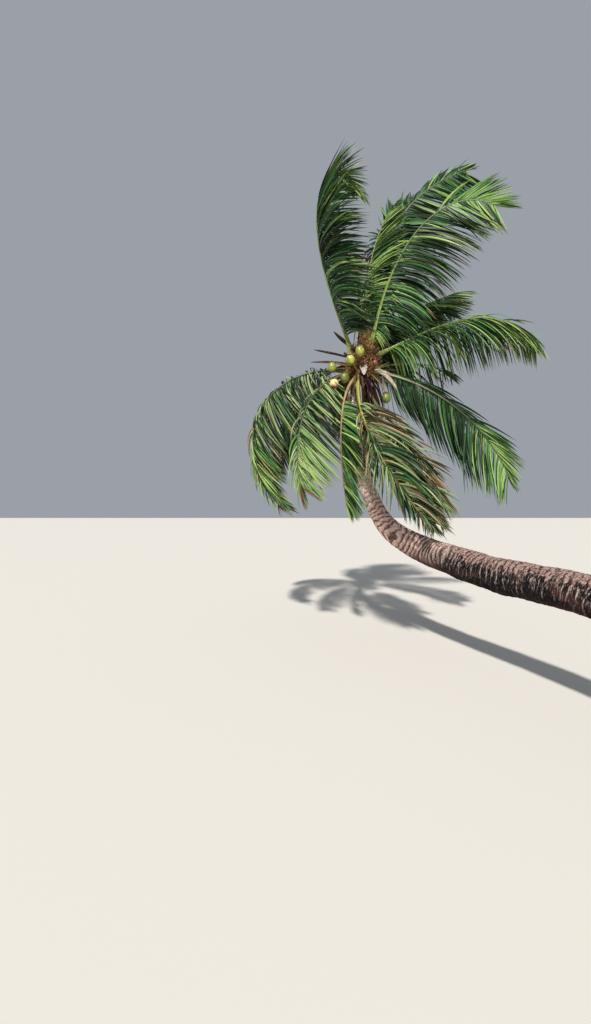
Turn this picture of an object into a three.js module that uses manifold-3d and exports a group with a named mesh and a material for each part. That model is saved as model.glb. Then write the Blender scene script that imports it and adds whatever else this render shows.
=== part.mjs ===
// A coconut palm. Its trunk leans out from a swollen foot, runs low over the ground, bends upright
// and carries a crown of long feathered fronds that a steady wind blows to one side.
// Millimetres, +Z up. The origin is the centre of the flat cut at ground level. The wind blows
// along +X, and a bearing is counted in degrees from +X towards +Y.
import * as THREE from 'three';
import { mergeVertices } from 'three/addons/utils/BufferGeometryUtils.js';
import Module from 'manifold-3d';

const wasm = await Module();
wasm.setup();

// Driving dimensions of the trunk
const TRUNK_WAY = [
  [0, 0, 0], [-105, 250, 300], [-425, 1014, 735], [-780, 1863, 897], [-1100, 2600, 945],
  [-1332, 3140, 1028], [-1464, 3445, 1088], [-1845, 3660, 1330], [-2065, 3760, 1743],
  [-2200, 3830, 2240], [-2231, 3870, 2867], [-2192, 3880, 3119], [-2098, 3920, 3634],
];
const CROWN_FOOT = new THREE.Vector3(-2192, 3880, 3119);
const CROWN_TOP = new THREE.Vector3(-2098, 3920, 3634);
const TRUNK_WIDE = 316;
const TRUNK_SLIM = 182;
const NARROW_FROM = 3850;
const NARROW_TO = 5250;
const FLARE = 264;
const FLARE_RUN = 300;
const LEVEL_RUN = 520;
const TRUNK_SPLIT = 4600;
const TRUNK_STEP = 145;
const LOWER_SIDES = 14;
const UPPER_SIDES = 12;

// The heart of the crown, as radius at each level above the crown's foot
const HEART = [[0, 94], [70, 118], [170, 150], [290, 152], [400, 122], [500, 84], [580, 48], [620, 22]];
const HEART_SIDES = 12;

// Driving dimensions of the fronds
const RIB_STEPS = 40;
const RIB_RINGS = 9;
const RIB_FOOT = 150;
const RIB_STALK = 76;
const RIB_TIP = 11;
const RIB_TAPER = 0.5;
const RIB_DEPTH = 0.75;
const RIB_KEEL = 1.35;
const RIB_CROWD = 1.35;
const SHEATH_RUN = 0.16;
const SPLIT_TURN = 85;

// Driving dimensions of the leaves: the bare share of a rib and where the leaves end, how far they
// open from it at its foot and tip, how they droop and bend, and the shares of full length that a
// crowded one tries
const BARE = 0.12;
const LEAF_TO = 0.97;
const LEAF_PAIRS = 10;
const LEAF_OPEN = [68, 40];
const LEAF_DROOP = 35;
const LEAF_SHORTEST = 0.25;
const LEAF_STEPS = 6;
const LEAF_WIDEST = 3;
const LEAF_FILL = 0.9;
const LEAF_ROOT = 0.15;
const LEAF_THICK = 9;
const LEAF_LIMP = 0.15;
const LEAF_STIFF = 1.3;
const LEAF_BEND = 0.55;
const LEAF_SHARES = [1, 0.8, 0.6, 0.4];
const TIP_LEAF_OPEN = 30;
const WEIGHT_PULL = 0.8;

// The gap between pieces that touch, and the least room between leaves
const GAP = 0.3;
const CLEAR = 0.6;

const UP = new THREE.Vector3(0, 0, 1);
const WIND = new THREE.Vector3(1, 0.15, 0);
const CROWN_AXIS = CROWN_TOP.clone().sub(CROWN_FOOT).normalize();

// One row a frond: how high its foot sits in the crown and how far out, the way it points at its
// foot, middle and tip (bearing, rise), its length, how late it turns, its longest leaf, how
// strongly the wind takes its leaves, and where they differ from the rest: the way it is turned
// (side), how stiff its last leaves are and how long its bare stalk is
const FRONDS = [
  { name: 'frond_windward_tall', level: 300, out: 90, foot: [203, 64], middle: [0, 83],
    tip: [0, -53], length: 2660, late: 2.2, leaf: 700, wind: 1.2, stiff: 3 },
  { name: 'frond_young', level: 470, out: 50, foot: [80, 87], middle: [50, 85],
    tip: [10, 60], length: 2000, late: 1, leaf: 520, wind: 0.6, stiff: 2, bare: 0.07 },
  { name: 'frond_top', level: 400, out: 80, foot: [25, 89], middle: [24, 73],
    tip: [-12, 7], length: 2930, late: 1.17, leaf: 780, wind: 0.6, side: [155, 60],
    stiff: 6, bare: 0.07 },
  { name: 'frond_front_high', level: 380, out: 90, foot: [-30, 79], middle: [-25, 49],
    tip: [-12, -42], length: 2520, late: 1.55, leaf: 800, wind: 0.5, side: [110, 75],
    stiff: 5, bare: 0.09 },
  { name: 'frond_back_high', level: 330, out: 80, foot: [38, 65], middle: [30, 24],
    tip: [22, 28], length: 2190, late: 0.95, leaf: 700, wind: 0.6, stiff: 2 },
  { name: 'frond_lee', level: 330, out: 80, foot: [-3, 28], middle: [8, 24],
    tip: [-10, -56], length: 2380, late: 1.28, leaf: 760, wind: 0.1 },
  { name: 'frond_lee_low', level: 190, out: 80, foot: [-13, -11], middle: [-12, -41],
    tip: [-10, -68], length: 2260, late: 0.97, leaf: 840, wind: 0.6, side: [77, 70],
    stiff: 2.5 },
  { name: 'frond_back_lee', level: 240, out: 80, foot: [36, 20], middle: [34, 14],
    tip: [34, -5], length: 1900, late: 1, leaf: 600, wind: 0.3 },
  { name: 'frond_front_hanging', level: 80, out: 70, foot: [-104, -39], middle: [-82, -50],
    tip: [-9, -49], length: 2360, late: 0.98, leaf: 660, wind: 0.8, side: [-75, 0], bare: 0.3 },
  { name: 'frond_front_lee', level: 120, out: 70, foot: [-71, -66], middle: [-44, -20],
    tip: [-36, -90], length: 2130, late: 1.02, leaf: 660, wind: 0.6, side: [40, 20], bare: 0.3 },
  { name: 'frond_front_windward', level: 60, out: 70, foot: [-120, -15], middle: [-110, -85],
    tip: [-40, -80], length: 1850, late: 0.8, leaf: 600, wind: 0.8, side: [-80, 0], bare: 0.32 },
  { name: 'frond_windward', level: 170, out: 80, foot: [176, 14], middle: [176, -65],
    tip: [-5, -42], length: 2780, late: 1, leaf: 660, wind: 0.9, side: [-94, -30] },
  { name: 'frond_windward_low', level: 110, out: 80, foot: [210, -5], middle: [215, -75],
    tip: [-60, -68], length: 1980, late: 0.95, leaf: 660, wind: 0.9, side: [-30, 20] },
  { name: 'frond_back', level: 400, out: 80, foot: [68, 44], middle: [64, 20],
    tip: [56, -40], length: 2300, late: 1, leaf: 660, wind: 0.5 },
  { name: 'frond_back_windward', level: 160, out: 80, foot: [140, 12], middle: [130, -40],
    tip: [110, -70], length: 2400, late: 1, leaf: 680, wind: 0.4 },
  { name: 'frond_back_hanging', level: 120, out: 80, foot: [84, 5], middle: [80, -50],
    tip: [70, -82], length: 2200, late: 1, leaf: 680, wind: 0.3 },
  { name: 'frond_back_middle', level: 260, out: 80, foot: [103, 24], middle: [90, -5],
    tip: [72, -50], length: 2100, late: 1, leaf: 660, wind: 0.4 },
];

// The dry woody sheaths that the flowers came out of, with their width
const SPATHES = [
  { name: 'spathe_hooked', level: 430, foot: [188, 18], tip: [184, 48], length: 460, wide: 60 },
  { name: 'spathe_long', level: 315, foot: [198, 12], tip: [192, 2], length: 640, wide: 62 },
  { name: 'spathe_thin', level: 250, foot: [201, 4], tip: [188, -6], length: 660, wide: 34 },
  { name: 'spathe_grey', level: 240, foot: [-92, 10], tip: [-95, -74], length: 330, wide: 54 },
  { name: 'spathe_pale', level: 235, foot: [-28, -10], tip: [-35, -66], length: 600, wide: 70,
    side: [180, 0] },
  { name: 'spathe_back', level: 255, foot: [158, 20], tip: [160, -40], length: 520, wide: 62 },
];
// How wide a sheath is at each place along it, as a share of its width
const SPATHE_SHAPE = [[0, 0.4], [0.15, 0.5], [0.4, 0.9], [0.7, 1], [0.9, 0.6]];
const SPATHE_SIDES = 6;
const SPATHE_THICK = 22;
const SHORT_WAY_STEPS = 12;

// The bunches of coconuts: each nut by its bearing, its reach from the crown's axis and its level
const BUNCHES = [
  { name: 'coconuts_windward', level: 190, bearing: 232,
    nuts: [[255, 300, 330], [239, 330, 215], [211, 430, 150], [233, 330, 5], [222, 420, -80]] },
  { name: 'coconuts_lee', level: 150, bearing: -52, nuts: [[-61, 285, 165], [-31, 400, -230]] },
  { name: 'coconuts_back', level: 210, bearing: 122,
    nuts: [[112, 330, 110], [124, 350, -20], [114, 440, -100], [131, 430, 50]] },
];
const NUT_LONG = 140;
const NUT_WIDE = 112;
const NUT_AROUND = 7;
const NUT_DOWN = 5;
const NUT_SEAT = 12;
const STALK_ROOT = 60;
const STALK_BEND = 210;
const STALK_DROP = 10;
const STALK_THICK = 16;
const STALK_TAPER = [1.15, 0.55];
const STALK_PLACES = [0, 0.35, 0.7, 1];
const STALK_SIDES = 4;

// The newest leaf, still folded into a spear, with its half width at each place along it
const SPEAR = { level: 600, foot: [190, 80], tip: [120, 86], length: 1250 };
const SPEAR_SHAPE = [[0, 17], [0.1, 25], [0.45, 27], [0.8, 15]];
const SPEAR_SIDES = 5;

function material(color, roughness) {
  return new THREE.MeshStandardMaterial({ color, roughness, metalness: 0 });
}
const FINISH = {
  bark: material(0x7a6558, 0.9),
  heart: material(0x8a6a3c, 0.95),
  frond: material(0x4f7a2c, 0.55),
  spear: material(0xa9b648, 0.5),
  spathe: material(0x5d4636, 0.85),
  nut: material(0xb7b548, 0.45),
};

function directionOf([bearing, rise]) {
  const b = THREE.MathUtils.degToRad(bearing);
  const r = THREE.MathUtils.degToRad(rise);
  return new THREE.Vector3(Math.cos(r) * Math.cos(b), Math.cos(r) * Math.sin(b), Math.sin(r));
}

function crownPoint(bearing, out, level) {
  const axisPoint = CROWN_FOOT.clone().addScaledVector(CROWN_AXIS, level);
  return axisPoint.addScaledVector(directionOf([bearing, 0]), out);
}

// The unit vectors across (b) and above (n) a way that runs along t, with b as near side as can be
function frameOf(t, side) {
  const b = side.clone().addScaledVector(t, -side.dot(t)).normalize();
  return { t, b, n: t.clone().cross(b) };
}

// A ring of points, counter-clockwise seen from ahead, as [across, above] offsets from a centre
function ringOf(centre, { b, n }, offsets) {
  return offsets.map(([x, y]) => centre.clone().addScaledVector(b, x).addScaledVector(n, y));
}

function roundOffsets(sides, rx, ry = rx) {
  return Array.from({ length: sides }, (_, k) => {
    const angle = (2 * Math.PI * k) / sides;
    return [rx * Math.cos(angle), ry * Math.sin(angle)];
  });
}

// A closed body through rings of equal count; the last ring may be a single point
function loft(rings) {
  const sides = rings[0].length;
  const points = rings.flat();
  const faces = [];
  for (let k = 1; k < sides - 1; k += 1) faces.push(0, k + 1, k);
  for (let i = 0; i < rings.length - 1; i += 1) {
    const start = i * sides;
    for (let k = 0; k < sides; k += 1) {
      const next = (k + 1) % sides;
      if (rings[i + 1].length === 1) {
        faces.push(start + k, start + next, start + sides);
      } else {
        faces.push(start + k, start + next, start + sides + next);
        faces.push(start + k, start + sides + next, start + sides + k);
      }
    }
  }
  const last = points.length - sides;
  const isPointed = rings.at(-1).length === 1;
  for (let k = 1; k < sides - 1 && !isPointed; k += 1) faces.push(last, last + k, last + k + 1);
  const geometry = new THREE.BufferGeometry().setFromPoints(points);
  geometry.setIndex(faces);
  return solidOf(geometry);
}

function solidOf(geometry) {
  const bare = geometry.clone();
  bare.deleteAttribute('normal');
  bare.deleteAttribute('uv');
  const merged = mergeVertices(bare);
  const vertProperties = new Float32Array(merged.attributes.position.array);
  const triVerts = new Uint32Array(merged.index.array);
  return new wasm.Manifold(new wasm.Mesh({ numProp: 3, vertProperties, triVerts }));
}

// The largest single body of a solid, without loose scraps
function mainBody(solid) {
  return solid.decompose().reduce((best, one) => (one.volume() > best.volume() ? one : best));
}

const palm = new THREE.Group();
const taken = [];

function keep(name, solid, finish) {
  const { vertProperties, triVerts } = solid.getMesh();
  const geometry = new THREE.BufferGeometry();
  geometry.setAttribute('position', new THREE.BufferAttribute(vertProperties, 3));
  geometry.setIndex(new THREE.BufferAttribute(triVerts, 1));
  geometry.computeVertexNormals();
  const mesh = new THREE.Mesh(geometry, finish);
  mesh.name = name;
  palm.add(mesh);
}

function take(owner, solid, place = null) {
  taken.push({ owner, place, solid, box: solid.boundingBox() });
}

function boxesApart(a, b) {
  return [0, 1, 2].some((k) => a.min[k] > b.max[k] + CLEAR || b.min[k] > a.max[k] + CLEAR);
}

// A leaf may meet its own rib, which has no place along it, and the leaf across from it
function isClear(owner, place, solid) {
  const box = solid.boundingBox();
  const isOwn = (other) => other.owner === owner && (other.place === null || other.place === place);
  return taken.every((other) => isOwn(other) || boxesApart(box, other.box)
    || solid.minGap(other.solid, CLEAR) >= CLEAR);
}

// Trunk
const trunkCurve = new THREE.CatmullRomCurve3(TRUNK_WAY.map((p) => new THREE.Vector3(...p)));
trunkCurve.arcLengthDivisions = 800;
const trunkLength = trunkCurve.getLength();

function trunkWidth(s) {
  const narrowed = THREE.MathUtils.smoothstep(s, NARROW_FROM, NARROW_TO);
  return THREE.MathUtils.lerp(TRUNK_WIDE, TRUNK_SLIM, narrowed) + FLARE * Math.exp(-s / FLARE_RUN);
}

// The foot is cut level, and over its first run the rings turn square to the trunk
function trunkPiece(from, to, sides) {
  const count = Math.ceil((to - from) / TRUNK_STEP);
  const rings = [];
  for (let i = 0; i <= count; i += 1) {
    const s = from + ((to - from) * i) / count;
    const centre = trunkCurve.getPointAt(s / trunkLength);
    const turned = THREE.MathUtils.smoothstep(s, 0, LEVEL_RUN);
    const t = UP.clone().lerp(trunkCurve.getTangentAt(s / trunkLength), turned).normalize();
    rings.push(ringOf(centre, frameOf(t, WIND), roundOffsets(sides, trunkWidth(s) / 2)));
  }
  return loft(rings);
}

// Heart of the crown
function heart(extra) {
  const frame = frameOf(CROWN_AXIS, WIND);
  const grown = (i) => HEART[i][0] + (i === 0 ? -extra : 0) + (i === HEART.length - 1 ? extra : 0);
  return loft(HEART.map(([, radius], i) => (
    ringOf(crownPoint(0, 0, grown(i)), frame, roundOffsets(HEART_SIDES, radius + extra)))));
}

// Ways of fronds, sheaths and stalks: the direction blends from foot over middle to tip
function wayOf(row, steps) {
  const foot = directionOf(row.foot);
  const tip = directionOf(row.tip);
  const middle = row.middle ? directionOf(row.middle) : foot.clone().add(tip).normalize();
  const side = row.side ? directionOf(row.side) : foot.clone().cross(tip).normalize();
  const directionAt = (u) => {
    const w = u ** (row.late ?? 1);
    return foot.clone().multiplyScalar((1 - w) ** 2).addScaledVector(middle, 2 * w * (1 - w))
      .addScaledVector(tip, w * w).normalize();
  };
  const points = [crownPoint(row.foot[0], row.out ?? 0, row.level)];
  for (let i = 0; i < steps; i += 1) {
    points.push(points[i].clone().addScaledVector(directionAt((i + 0.5) / steps), row.length / steps));
  }
  const pointAt = (u) => {
    const k = Math.min(Math.floor(u * steps), steps - 1);
    return points[k].clone().lerp(points[k + 1], u * steps - k);
  };
  return { pointAt, frameAt: (u) => frameOf(directionAt(u), side), directionAt };
}

// Half width and half height of a frond's rib: a broad sheath at the foot, then a slim taper
function ribSize(u) {
  const sheath = Math.max(0, 1 - u / SHEATH_RUN) ** 2;
  const stalk = THREE.MathUtils.lerp(RIB_STALK, RIB_TIP, u ** RIB_TAPER);
  return [(stalk + (RIB_FOOT - RIB_STALK) * sheath) / 2, (stalk * RIB_DEPTH) / 2];
}

function ribPiece(way, from, to, extra) {
  const rings = [];
  const count = Math.max(4, Math.round(RIB_RINGS * (to - from)));
  for (let i = 0; i <= count; i += 1) {
    const u = from + (to - from) * (i / count) ** (from === 0 ? RIB_CROWD : 1);
    const [wide, high] = ribSize(u);
    const [x, y, keel] = [wide + 3 * extra, high + extra, high * RIB_KEEL + 3 * extra];
    const centre = way.pointAt(u).addScaledVector(way.directionAt(u), i === 0 ? -extra : 0);
    rings.push(ringOf(centre, way.frameAt(u), [[x, y], [-x, y], [0, -keel]]));
  }
  return loft(rings);
}

// One leaf, a three-sided blade that leaves the rib forwards and outwards and bends with the pull
// of the wind and its own weight. hand is 1 or -1 for the two sides of the rib, 0 for its tip.
function leafBlade(row, way, u, hand, length) {
  const root = way.pointAt(u);
  const { t, b, n } = way.frameAt(u);
  const open = THREE.MathUtils.degToRad(hand ? THREE.MathUtils.lerp(...LEAF_OPEN, u) : 0);
  const droop = THREE.MathUtils.degToRad(LEAF_DROOP);
  const out = b.clone().multiplyScalar(hand * Math.cos(droop)).addScaledVector(n, -Math.sin(droop));
  const start = t.clone().multiplyScalar(Math.cos(open)).addScaledVector(out, Math.sin(open));
  const pull = WIND.clone().multiplyScalar(row.wind).addScaledVector(UP, -WEIGHT_PULL).normalize();
  const stiff = THREE.MathUtils.lerp(LEAF_LIMP, row.stiff ?? LEAF_STIFF, u ** 2);
  const end = start.clone().multiplyScalar(stiff).add(pull).normalize();
  const face = n.clone().multiplyScalar(2).add(t);
  const points = [root];
  const directions = [];
  for (let i = 0; i < LEAF_STEPS; i += 1) {
    directions.push(start.clone().lerp(end, ((i + 0.5) / LEAF_STEPS) ** LEAF_BEND).normalize());
    points.push(points[i].clone().addScaledVector(directions[i], length / LEAF_STEPS));
  }
  const section = (k, wide, thick) => {
    const along = directions[Math.min(k, LEAF_STEPS - 1)];
    const frame = frameOf(along, along.clone().cross(face).negate());
    return ringOf(points[k], frame, [[wide / 2, -thick / 2], [0, thick / 2], [-wide / 2, -thick / 2]]);
  };
  const spread = open || THREE.MathUtils.degToRad(TIP_LEAF_OPEN);
  const wide = LEAF_FILL * leafStep(row) * Math.sin(spread);
  return loft([section(0, wide * LEAF_ROOT, LEAF_THICK), section(LEAF_WIDEST, wide, LEAF_THICK),
    [points[LEAF_STEPS]]]);
}

function leafFrom(row) {
  return row.bare ?? BARE;
}

function leafStep(row) {
  return (row.length * (LEAF_TO - leafFrom(row))) / LEAF_PAIRS;
}

// The longest leaves stand below the middle of a frond (v runs from its first leaf to its last)
function leafLength(row, v) {
  return row.leaf * THREE.MathUtils.lerp(LEAF_SHORTEST, 1, Math.sin(Math.PI * (0.2 + 0.73 * v)));
}

// Where a frond that turns far is split: half way through its turning
function splitOf(row, way) {
  const turned = (u) => THREE.MathUtils.radToDeg(way.directionAt(0).angleTo(way.directionAt(u)));
  const total = turned(1);
  if (total < SPLIT_TURN) return null;
  let u = 0;
  while (turned(u) < total / 2) u += 0.01;
  const step = leafStep(row) / row.length;
  const leaf = Math.round((u - leafFrom(row)) / step - 0.5);
  return leafFrom(row) + (leaf + 1) * step;
}

function frondParts(row) {
  const way = wayOf(row, RIB_STEPS);
  const split = splitOf(row, way);
  const half = GAP / 2 / row.length;
  return split === null
    ? [{ name: row.name, row, way, from: 0, to: 1 }]
    : [{ name: `${row.name}_foot`, row, way, from: 0, to: split - half },
      { name: `${row.name}_end`, row, way, from: split + half, to: 1 }];
}

// Grown copies of the heart and of each frond's rib, which keep what comes later clear of them
const cutters = [];

function cutClear(solid) {
  const near = cutters.filter((cutter) => solid.minGap(cutter, 1) < GAP);
  return mainBody(near.reduce((left, cutter) => left.subtract(cutter), solid));
}

function addTrunkAndHeart() {
  const heartSolid = heart(0);
  const lower = trunkPiece(0, TRUNK_SPLIT - GAP / 2, LOWER_SIDES);
  const crownStart = trunkLength - CROWN_TOP.distanceTo(CROWN_FOOT);
  const upper = trunkPiece(TRUNK_SPLIT + GAP / 2, crownStart + TRUNK_STEP / 2, UPPER_SIDES);
  cutters.push(heart(GAP));
  const upperCut = cutClear(upper);
  keep('trunk_lower', lower, FINISH.bark);
  keep('trunk_upper', upperCut, FINISH.bark);
  keep('crown_heart', heartSolid, FINISH.heart);
  take('trunk_lower', lower);
  take('trunk_upper', upperCut);
  take('crown_heart', heartSolid);
}
addTrunkAndHeart();

const frondPieces = FRONDS.flatMap(frondParts);
for (const piece of frondPieces) {
  piece.rib = cutClear(ribPiece(piece.way, piece.from, piece.to, 0));
  if (piece.from === 0) cutters.push(ribPiece(piece.way, piece.from, piece.to, GAP));
  take(piece.name, piece.rib);
}

function addSpathe(row) {
  const way = wayOf(row, SHORT_WAY_STEPS);
  const rings = SPATHE_SHAPE.map(([u, share]) => ringOf(way.pointAt(u), way.frameAt(u),
    roundOffsets(SPATHE_SIDES, (row.wide / 2) * share, (SPATHE_THICK / 2) * (0.5 + share / 2))));
  const solid = cutClear(loft([...rings, [way.pointAt(1)]]));
  keep(row.name, solid, FINISH.spathe);
  take(row.name, solid);
}
SPATHES.forEach(addSpathe);

function addBunch(row) {
  const start = crownPoint(row.bearing, STALK_ROOT, row.level);
  const fork = crownPoint(row.bearing, STALK_BEND, row.level - STALK_DROP);
  const parts = [];
  for (const [bearing, out, level] of row.nuts) {
    const centre = crownPoint(bearing, out, level);
    const top = centre.clone().addScaledVector(UP, NUT_LONG / 2 - NUT_SEAT);
    const way = new THREE.QuadraticBezierCurve3(start, fork, top);
    const rings = STALK_PLACES.map((u) => ringOf(way.getPoint(u), frameOf(way.getTangent(u), UP),
      roundOffsets(STALK_SIDES, STALK_THICK * THREE.MathUtils.lerp(...STALK_TAPER, u))));
    parts.push(loft(rings));
    const nut = new THREE.SphereGeometry(1, NUT_AROUND, NUT_DOWN);
    nut.rotateX(Math.PI / 2).scale(NUT_WIDE / 2, NUT_WIDE / 2, NUT_LONG / 2);
    nut.translate(centre.x, centre.y, centre.z);
    parts.push(solidOf(nut));
  }
  const solid = cutClear(wasm.Manifold.union(parts));
  keep(row.name, solid, FINISH.nut);
  take(row.name, solid);
}
BUNCHES.forEach(addBunch);

function addSpear() {
  const way = wayOf(SPEAR, SHORT_WAY_STEPS);
  const rings = SPEAR_SHAPE.map(([u, radius]) => (
    ringOf(way.pointAt(u), way.frameAt(u), roundOffsets(SPEAR_SIDES, radius))));
  const solid = cutClear(loft([...rings, [way.pointAt(1)]]));
  keep('spear_leaf', solid, FINISH.spear);
  take('spear_leaf', solid);
}
addSpear();

// A leaf that would touch another piece is drawn shorter, and left out if that isn't enough
function addLeaves(piece) {
  const { row, way } = piece;
  const parts = [piece.rib];
  const tryLeaf = (u, hand, v) => {
    for (const share of LEAF_SHARES) {
      const leaf = leafBlade(row, way, u, hand, leafLength(row, v) * share);
      if (isClear(piece.name, u, leaf)) {
        parts.push(leaf);
        take(piece.name, leaf, u);
        return;
      }
    }
  };
  for (let i = 0; i < LEAF_PAIRS; i += 1) {
    const v = (i + 0.5) / LEAF_PAIRS;
    const u = THREE.MathUtils.lerp(leafFrom(row), LEAF_TO, v);
    if (u > piece.from && u < piece.to) {
      tryLeaf(u, 1, v);
      tryLeaf(u, -1, v);
    }
  }
  if (piece.to === 1) tryLeaf(1 - 1 / RIB_STEPS, 0, 1);
  keep(piece.name, mainBody(wasm.Manifold.union(parts)), FINISH.frond);
}
frondPieces.forEach(addLeaves);

export default palm;
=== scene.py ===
# %% [markdown]
# # A coconut palm in the wind
#
# The real object is a coconut palm whose trunk leans out low for a few metres, bends upright and
# carries a crown of long feathered fronds. A steady wind blows along +X and combs the crown to one
# side. This lesson dresses plain solids, which already have the right place and size, with bark,
# fibre, leaflets and fruit.

# %% Load the plain solids
import math

import bpy
import numpy as np
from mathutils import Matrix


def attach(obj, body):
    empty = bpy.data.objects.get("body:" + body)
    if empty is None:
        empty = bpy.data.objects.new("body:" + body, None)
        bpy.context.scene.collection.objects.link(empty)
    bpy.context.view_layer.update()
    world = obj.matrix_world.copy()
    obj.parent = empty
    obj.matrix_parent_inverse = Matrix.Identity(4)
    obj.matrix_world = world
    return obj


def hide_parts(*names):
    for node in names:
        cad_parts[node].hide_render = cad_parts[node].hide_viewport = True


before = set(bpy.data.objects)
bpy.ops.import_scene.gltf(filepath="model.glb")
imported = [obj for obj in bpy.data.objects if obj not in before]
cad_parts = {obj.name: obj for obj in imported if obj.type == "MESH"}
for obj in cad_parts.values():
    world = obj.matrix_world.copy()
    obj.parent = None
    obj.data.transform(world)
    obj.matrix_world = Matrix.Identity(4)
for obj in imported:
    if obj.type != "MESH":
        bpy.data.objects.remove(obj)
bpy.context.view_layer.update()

# %% [markdown]
# ## The eye, the light and the floor
#
# The palm is seen from 1.5 m above its foot, with a wide lens and almost no tilt. The lens follows
# from the frame: 36 mm of sensor along the tall side. A sun stands behind the camera, a little to its
# left. It could be a bare sun lamp, but a wider disc gives the soft edges of studio light, and a pale
# world fills the shadows.

# %% Camera
EYE = (-2.97, -1.10, 1.50)
FRAME_TALL = 1024
FOCAL_PIXELS = 400
HORIZON_BELOW_MIDDLE = 3
SENSOR_TALL = 36
FARTHEST_SEEN = 500

bpy.ops.object.camera_add(location=EYE)
camera = bpy.context.object
camera.name = "eye"
camera.data.sensor_width = SENSOR_TALL
camera.data.lens = SENSOR_TALL * FOCAL_PIXELS / FRAME_TALL
tilt = math.atan(HORIZON_BELOW_MIDDLE / FOCAL_PIXELS)
camera.rotation_euler = (math.pi / 2 + tilt, 0, 0)
camera.data.clip_end = FARTHEST_SEEN
bpy.context.scene.camera = camera
print("lens", round(camera.data.lens, 2), "mm, tilt", round(math.degrees(tilt), 2), "degrees")

# %% Light
SUN_RISE = 40
SUN_LEFT = 10
SUN_SOFTNESS = 3
SUN_STRENGTH = 5.5
SUN_COLOUR = (1.0, 0.96, 0.90)
GLOW_COLOUR = (0.74, 0.80, 0.88, 1)
GLOW_STRENGTH = 0.44

bpy.ops.object.light_add(type="SUN", location=(-6, -8, 10))
sun = bpy.context.object
sun.name = "key_light"
sun.data.energy = SUN_STRENGTH
sun.data.angle = math.radians(SUN_SOFTNESS)
sun.data.color = SUN_COLOUR
sun.rotation_euler = (math.radians(90 - SUN_RISE), 0, math.radians(-SUN_LEFT))

world = bpy.data.worlds.new("studio")
world.use_nodes = True
glow = world.node_tree.nodes["Background"].inputs
glow["Color"].default_value = GLOW_COLOUR
glow["Strength"].default_value = GLOW_STRENGTH
bpy.context.scene.world = world
bpy.context.scene.view_settings.view_transform = "Standard"
print("sun", SUN_RISE, "degrees up,", SUN_LEFT, "degrees left of the eye")

# %% Floor
FLOOR_SIDE = 400
FLOOR_COLOUR = (0.60, 0.575, 0.535, 1)
FLOOR_ROUGHNESS = 0.9


def select_only(piece=None):
    """Deselects everything, and then selects this piece, if one is given."""
    bpy.ops.object.select_all(action="DESELECT")
    if piece:
        piece.select_set(True)
        bpy.context.view_layer.objects.active = piece


select_only()
bpy.ops.mesh.primitive_plane_add(size=FLOOR_SIDE)
floor = bpy.context.object
floor.name = "floor"
pale = bpy.data.materials.new("floor_pale")
pale.use_nodes = True
surface = pale.node_tree.nodes["Principled BSDF"].inputs
surface["Base Color"].default_value = FLOOR_COLOUR
surface["Roughness"].default_value = FLOOR_ROUGHNESS
floor.data.materials.append(pale)
print("floor", FLOOR_SIDE, "m a side")

# %% [markdown]
# ## Directions and bent ways
#
# Nearly everything on a palm is a straight thing that has been bent: the trunk, the ribs, the
# leaflets, the dry sheaths and the stalks. Each could be pushed into place with a curve modifier.
# Here each is modelled straight along +Z and then laid along a way, a function that gives the place
# and the facing at every share of its length, because the solids were made by the same rule.

# %% Directions
UP = np.array([0.0, 0.0, 1.0])
WIND = np.array([1.0, 0.15, 0.0])
CROWN_FOOT = np.array([-2.192, 3.880, 3.119])
CROWN_TOP = np.array([-2.098, 3.920, 3.634])


def unit(v):
    return v / np.linalg.norm(v, axis=-1, keepdims=True)


def blend(a, b, share):
    return a + (b - a) * share


def direction_of(bearing_and_rise):
    """The unit vector of a bearing (degrees from +X towards +Y) and a rise above level."""
    bearing, rise = np.radians(bearing_and_rise)
    return np.array([np.cos(rise) * np.cos(bearing), np.cos(rise) * np.sin(bearing), np.sin(rise)])


CROWN_AXIS = unit(CROWN_TOP - CROWN_FOOT)


def crown_point(bearing, out, level):
    return CROWN_FOOT + CROWN_AXIS * level + direction_of((bearing, 0)) * out


def facing(along, side):
    """Unit vectors along, across (as near side as can be) and above."""
    across = unit(side - along * np.sum(side * along, axis=-1, keepdims=True))
    return along, across, np.cross(along, across)


print("crown", round(float(np.linalg.norm(CROWN_TOP - CROWN_FOOT)), 3), "m tall")

# %% Ways
WAY_STEPS = 40


def between(at, marks, points):
    """The points at some places along a line that is known at its marks."""
    return np.stack([np.interp(at, marks, points[:, k]) for k in range(3)], axis=-1)


class Way:
    """A bent line whose direction blends from foot over middle to tip."""

    def __init__(self, foot, tip, length, start, middle=None, side=None, late=1.0):
        self.foot, self.tip, self.late = direction_of(foot), direction_of(tip), late
        self.middle = direction_of(middle) if middle else unit(self.foot + self.tip)
        self.side = direction_of(side) if side else unit(np.cross(self.foot, self.tip))
        self.length = length
        self.marks = np.linspace(0, 1, WAY_STEPS + 1)
        steps = self.direction((self.marks[:-1] + self.marks[1:]) / 2) * length / WAY_STEPS
        self.points = start + np.vstack([np.zeros(3), np.cumsum(steps, axis=0)])

    def direction(self, u):
        w = np.asarray(u, float)[..., None] ** self.late
        return unit((1 - w) ** 2 * self.foot + 2 * w * (1 - w) * self.middle + w * w * self.tip)

    def place(self, u):
        return between(u, self.marks, self.points)

    def face(self, u):
        return facing(self.direction(np.clip(u, 0, 1)), self.side)


def laid_along(points, way):
    """A straight piece's points (across, above, share of the way) laid along that way."""
    _, across, above = way.face(points[:, 2])
    return way.place(points[:, 2]) + across * points[:, :1] + above * points[:, 1:2]


print("a way has", WAY_STEPS, "steps")


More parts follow.
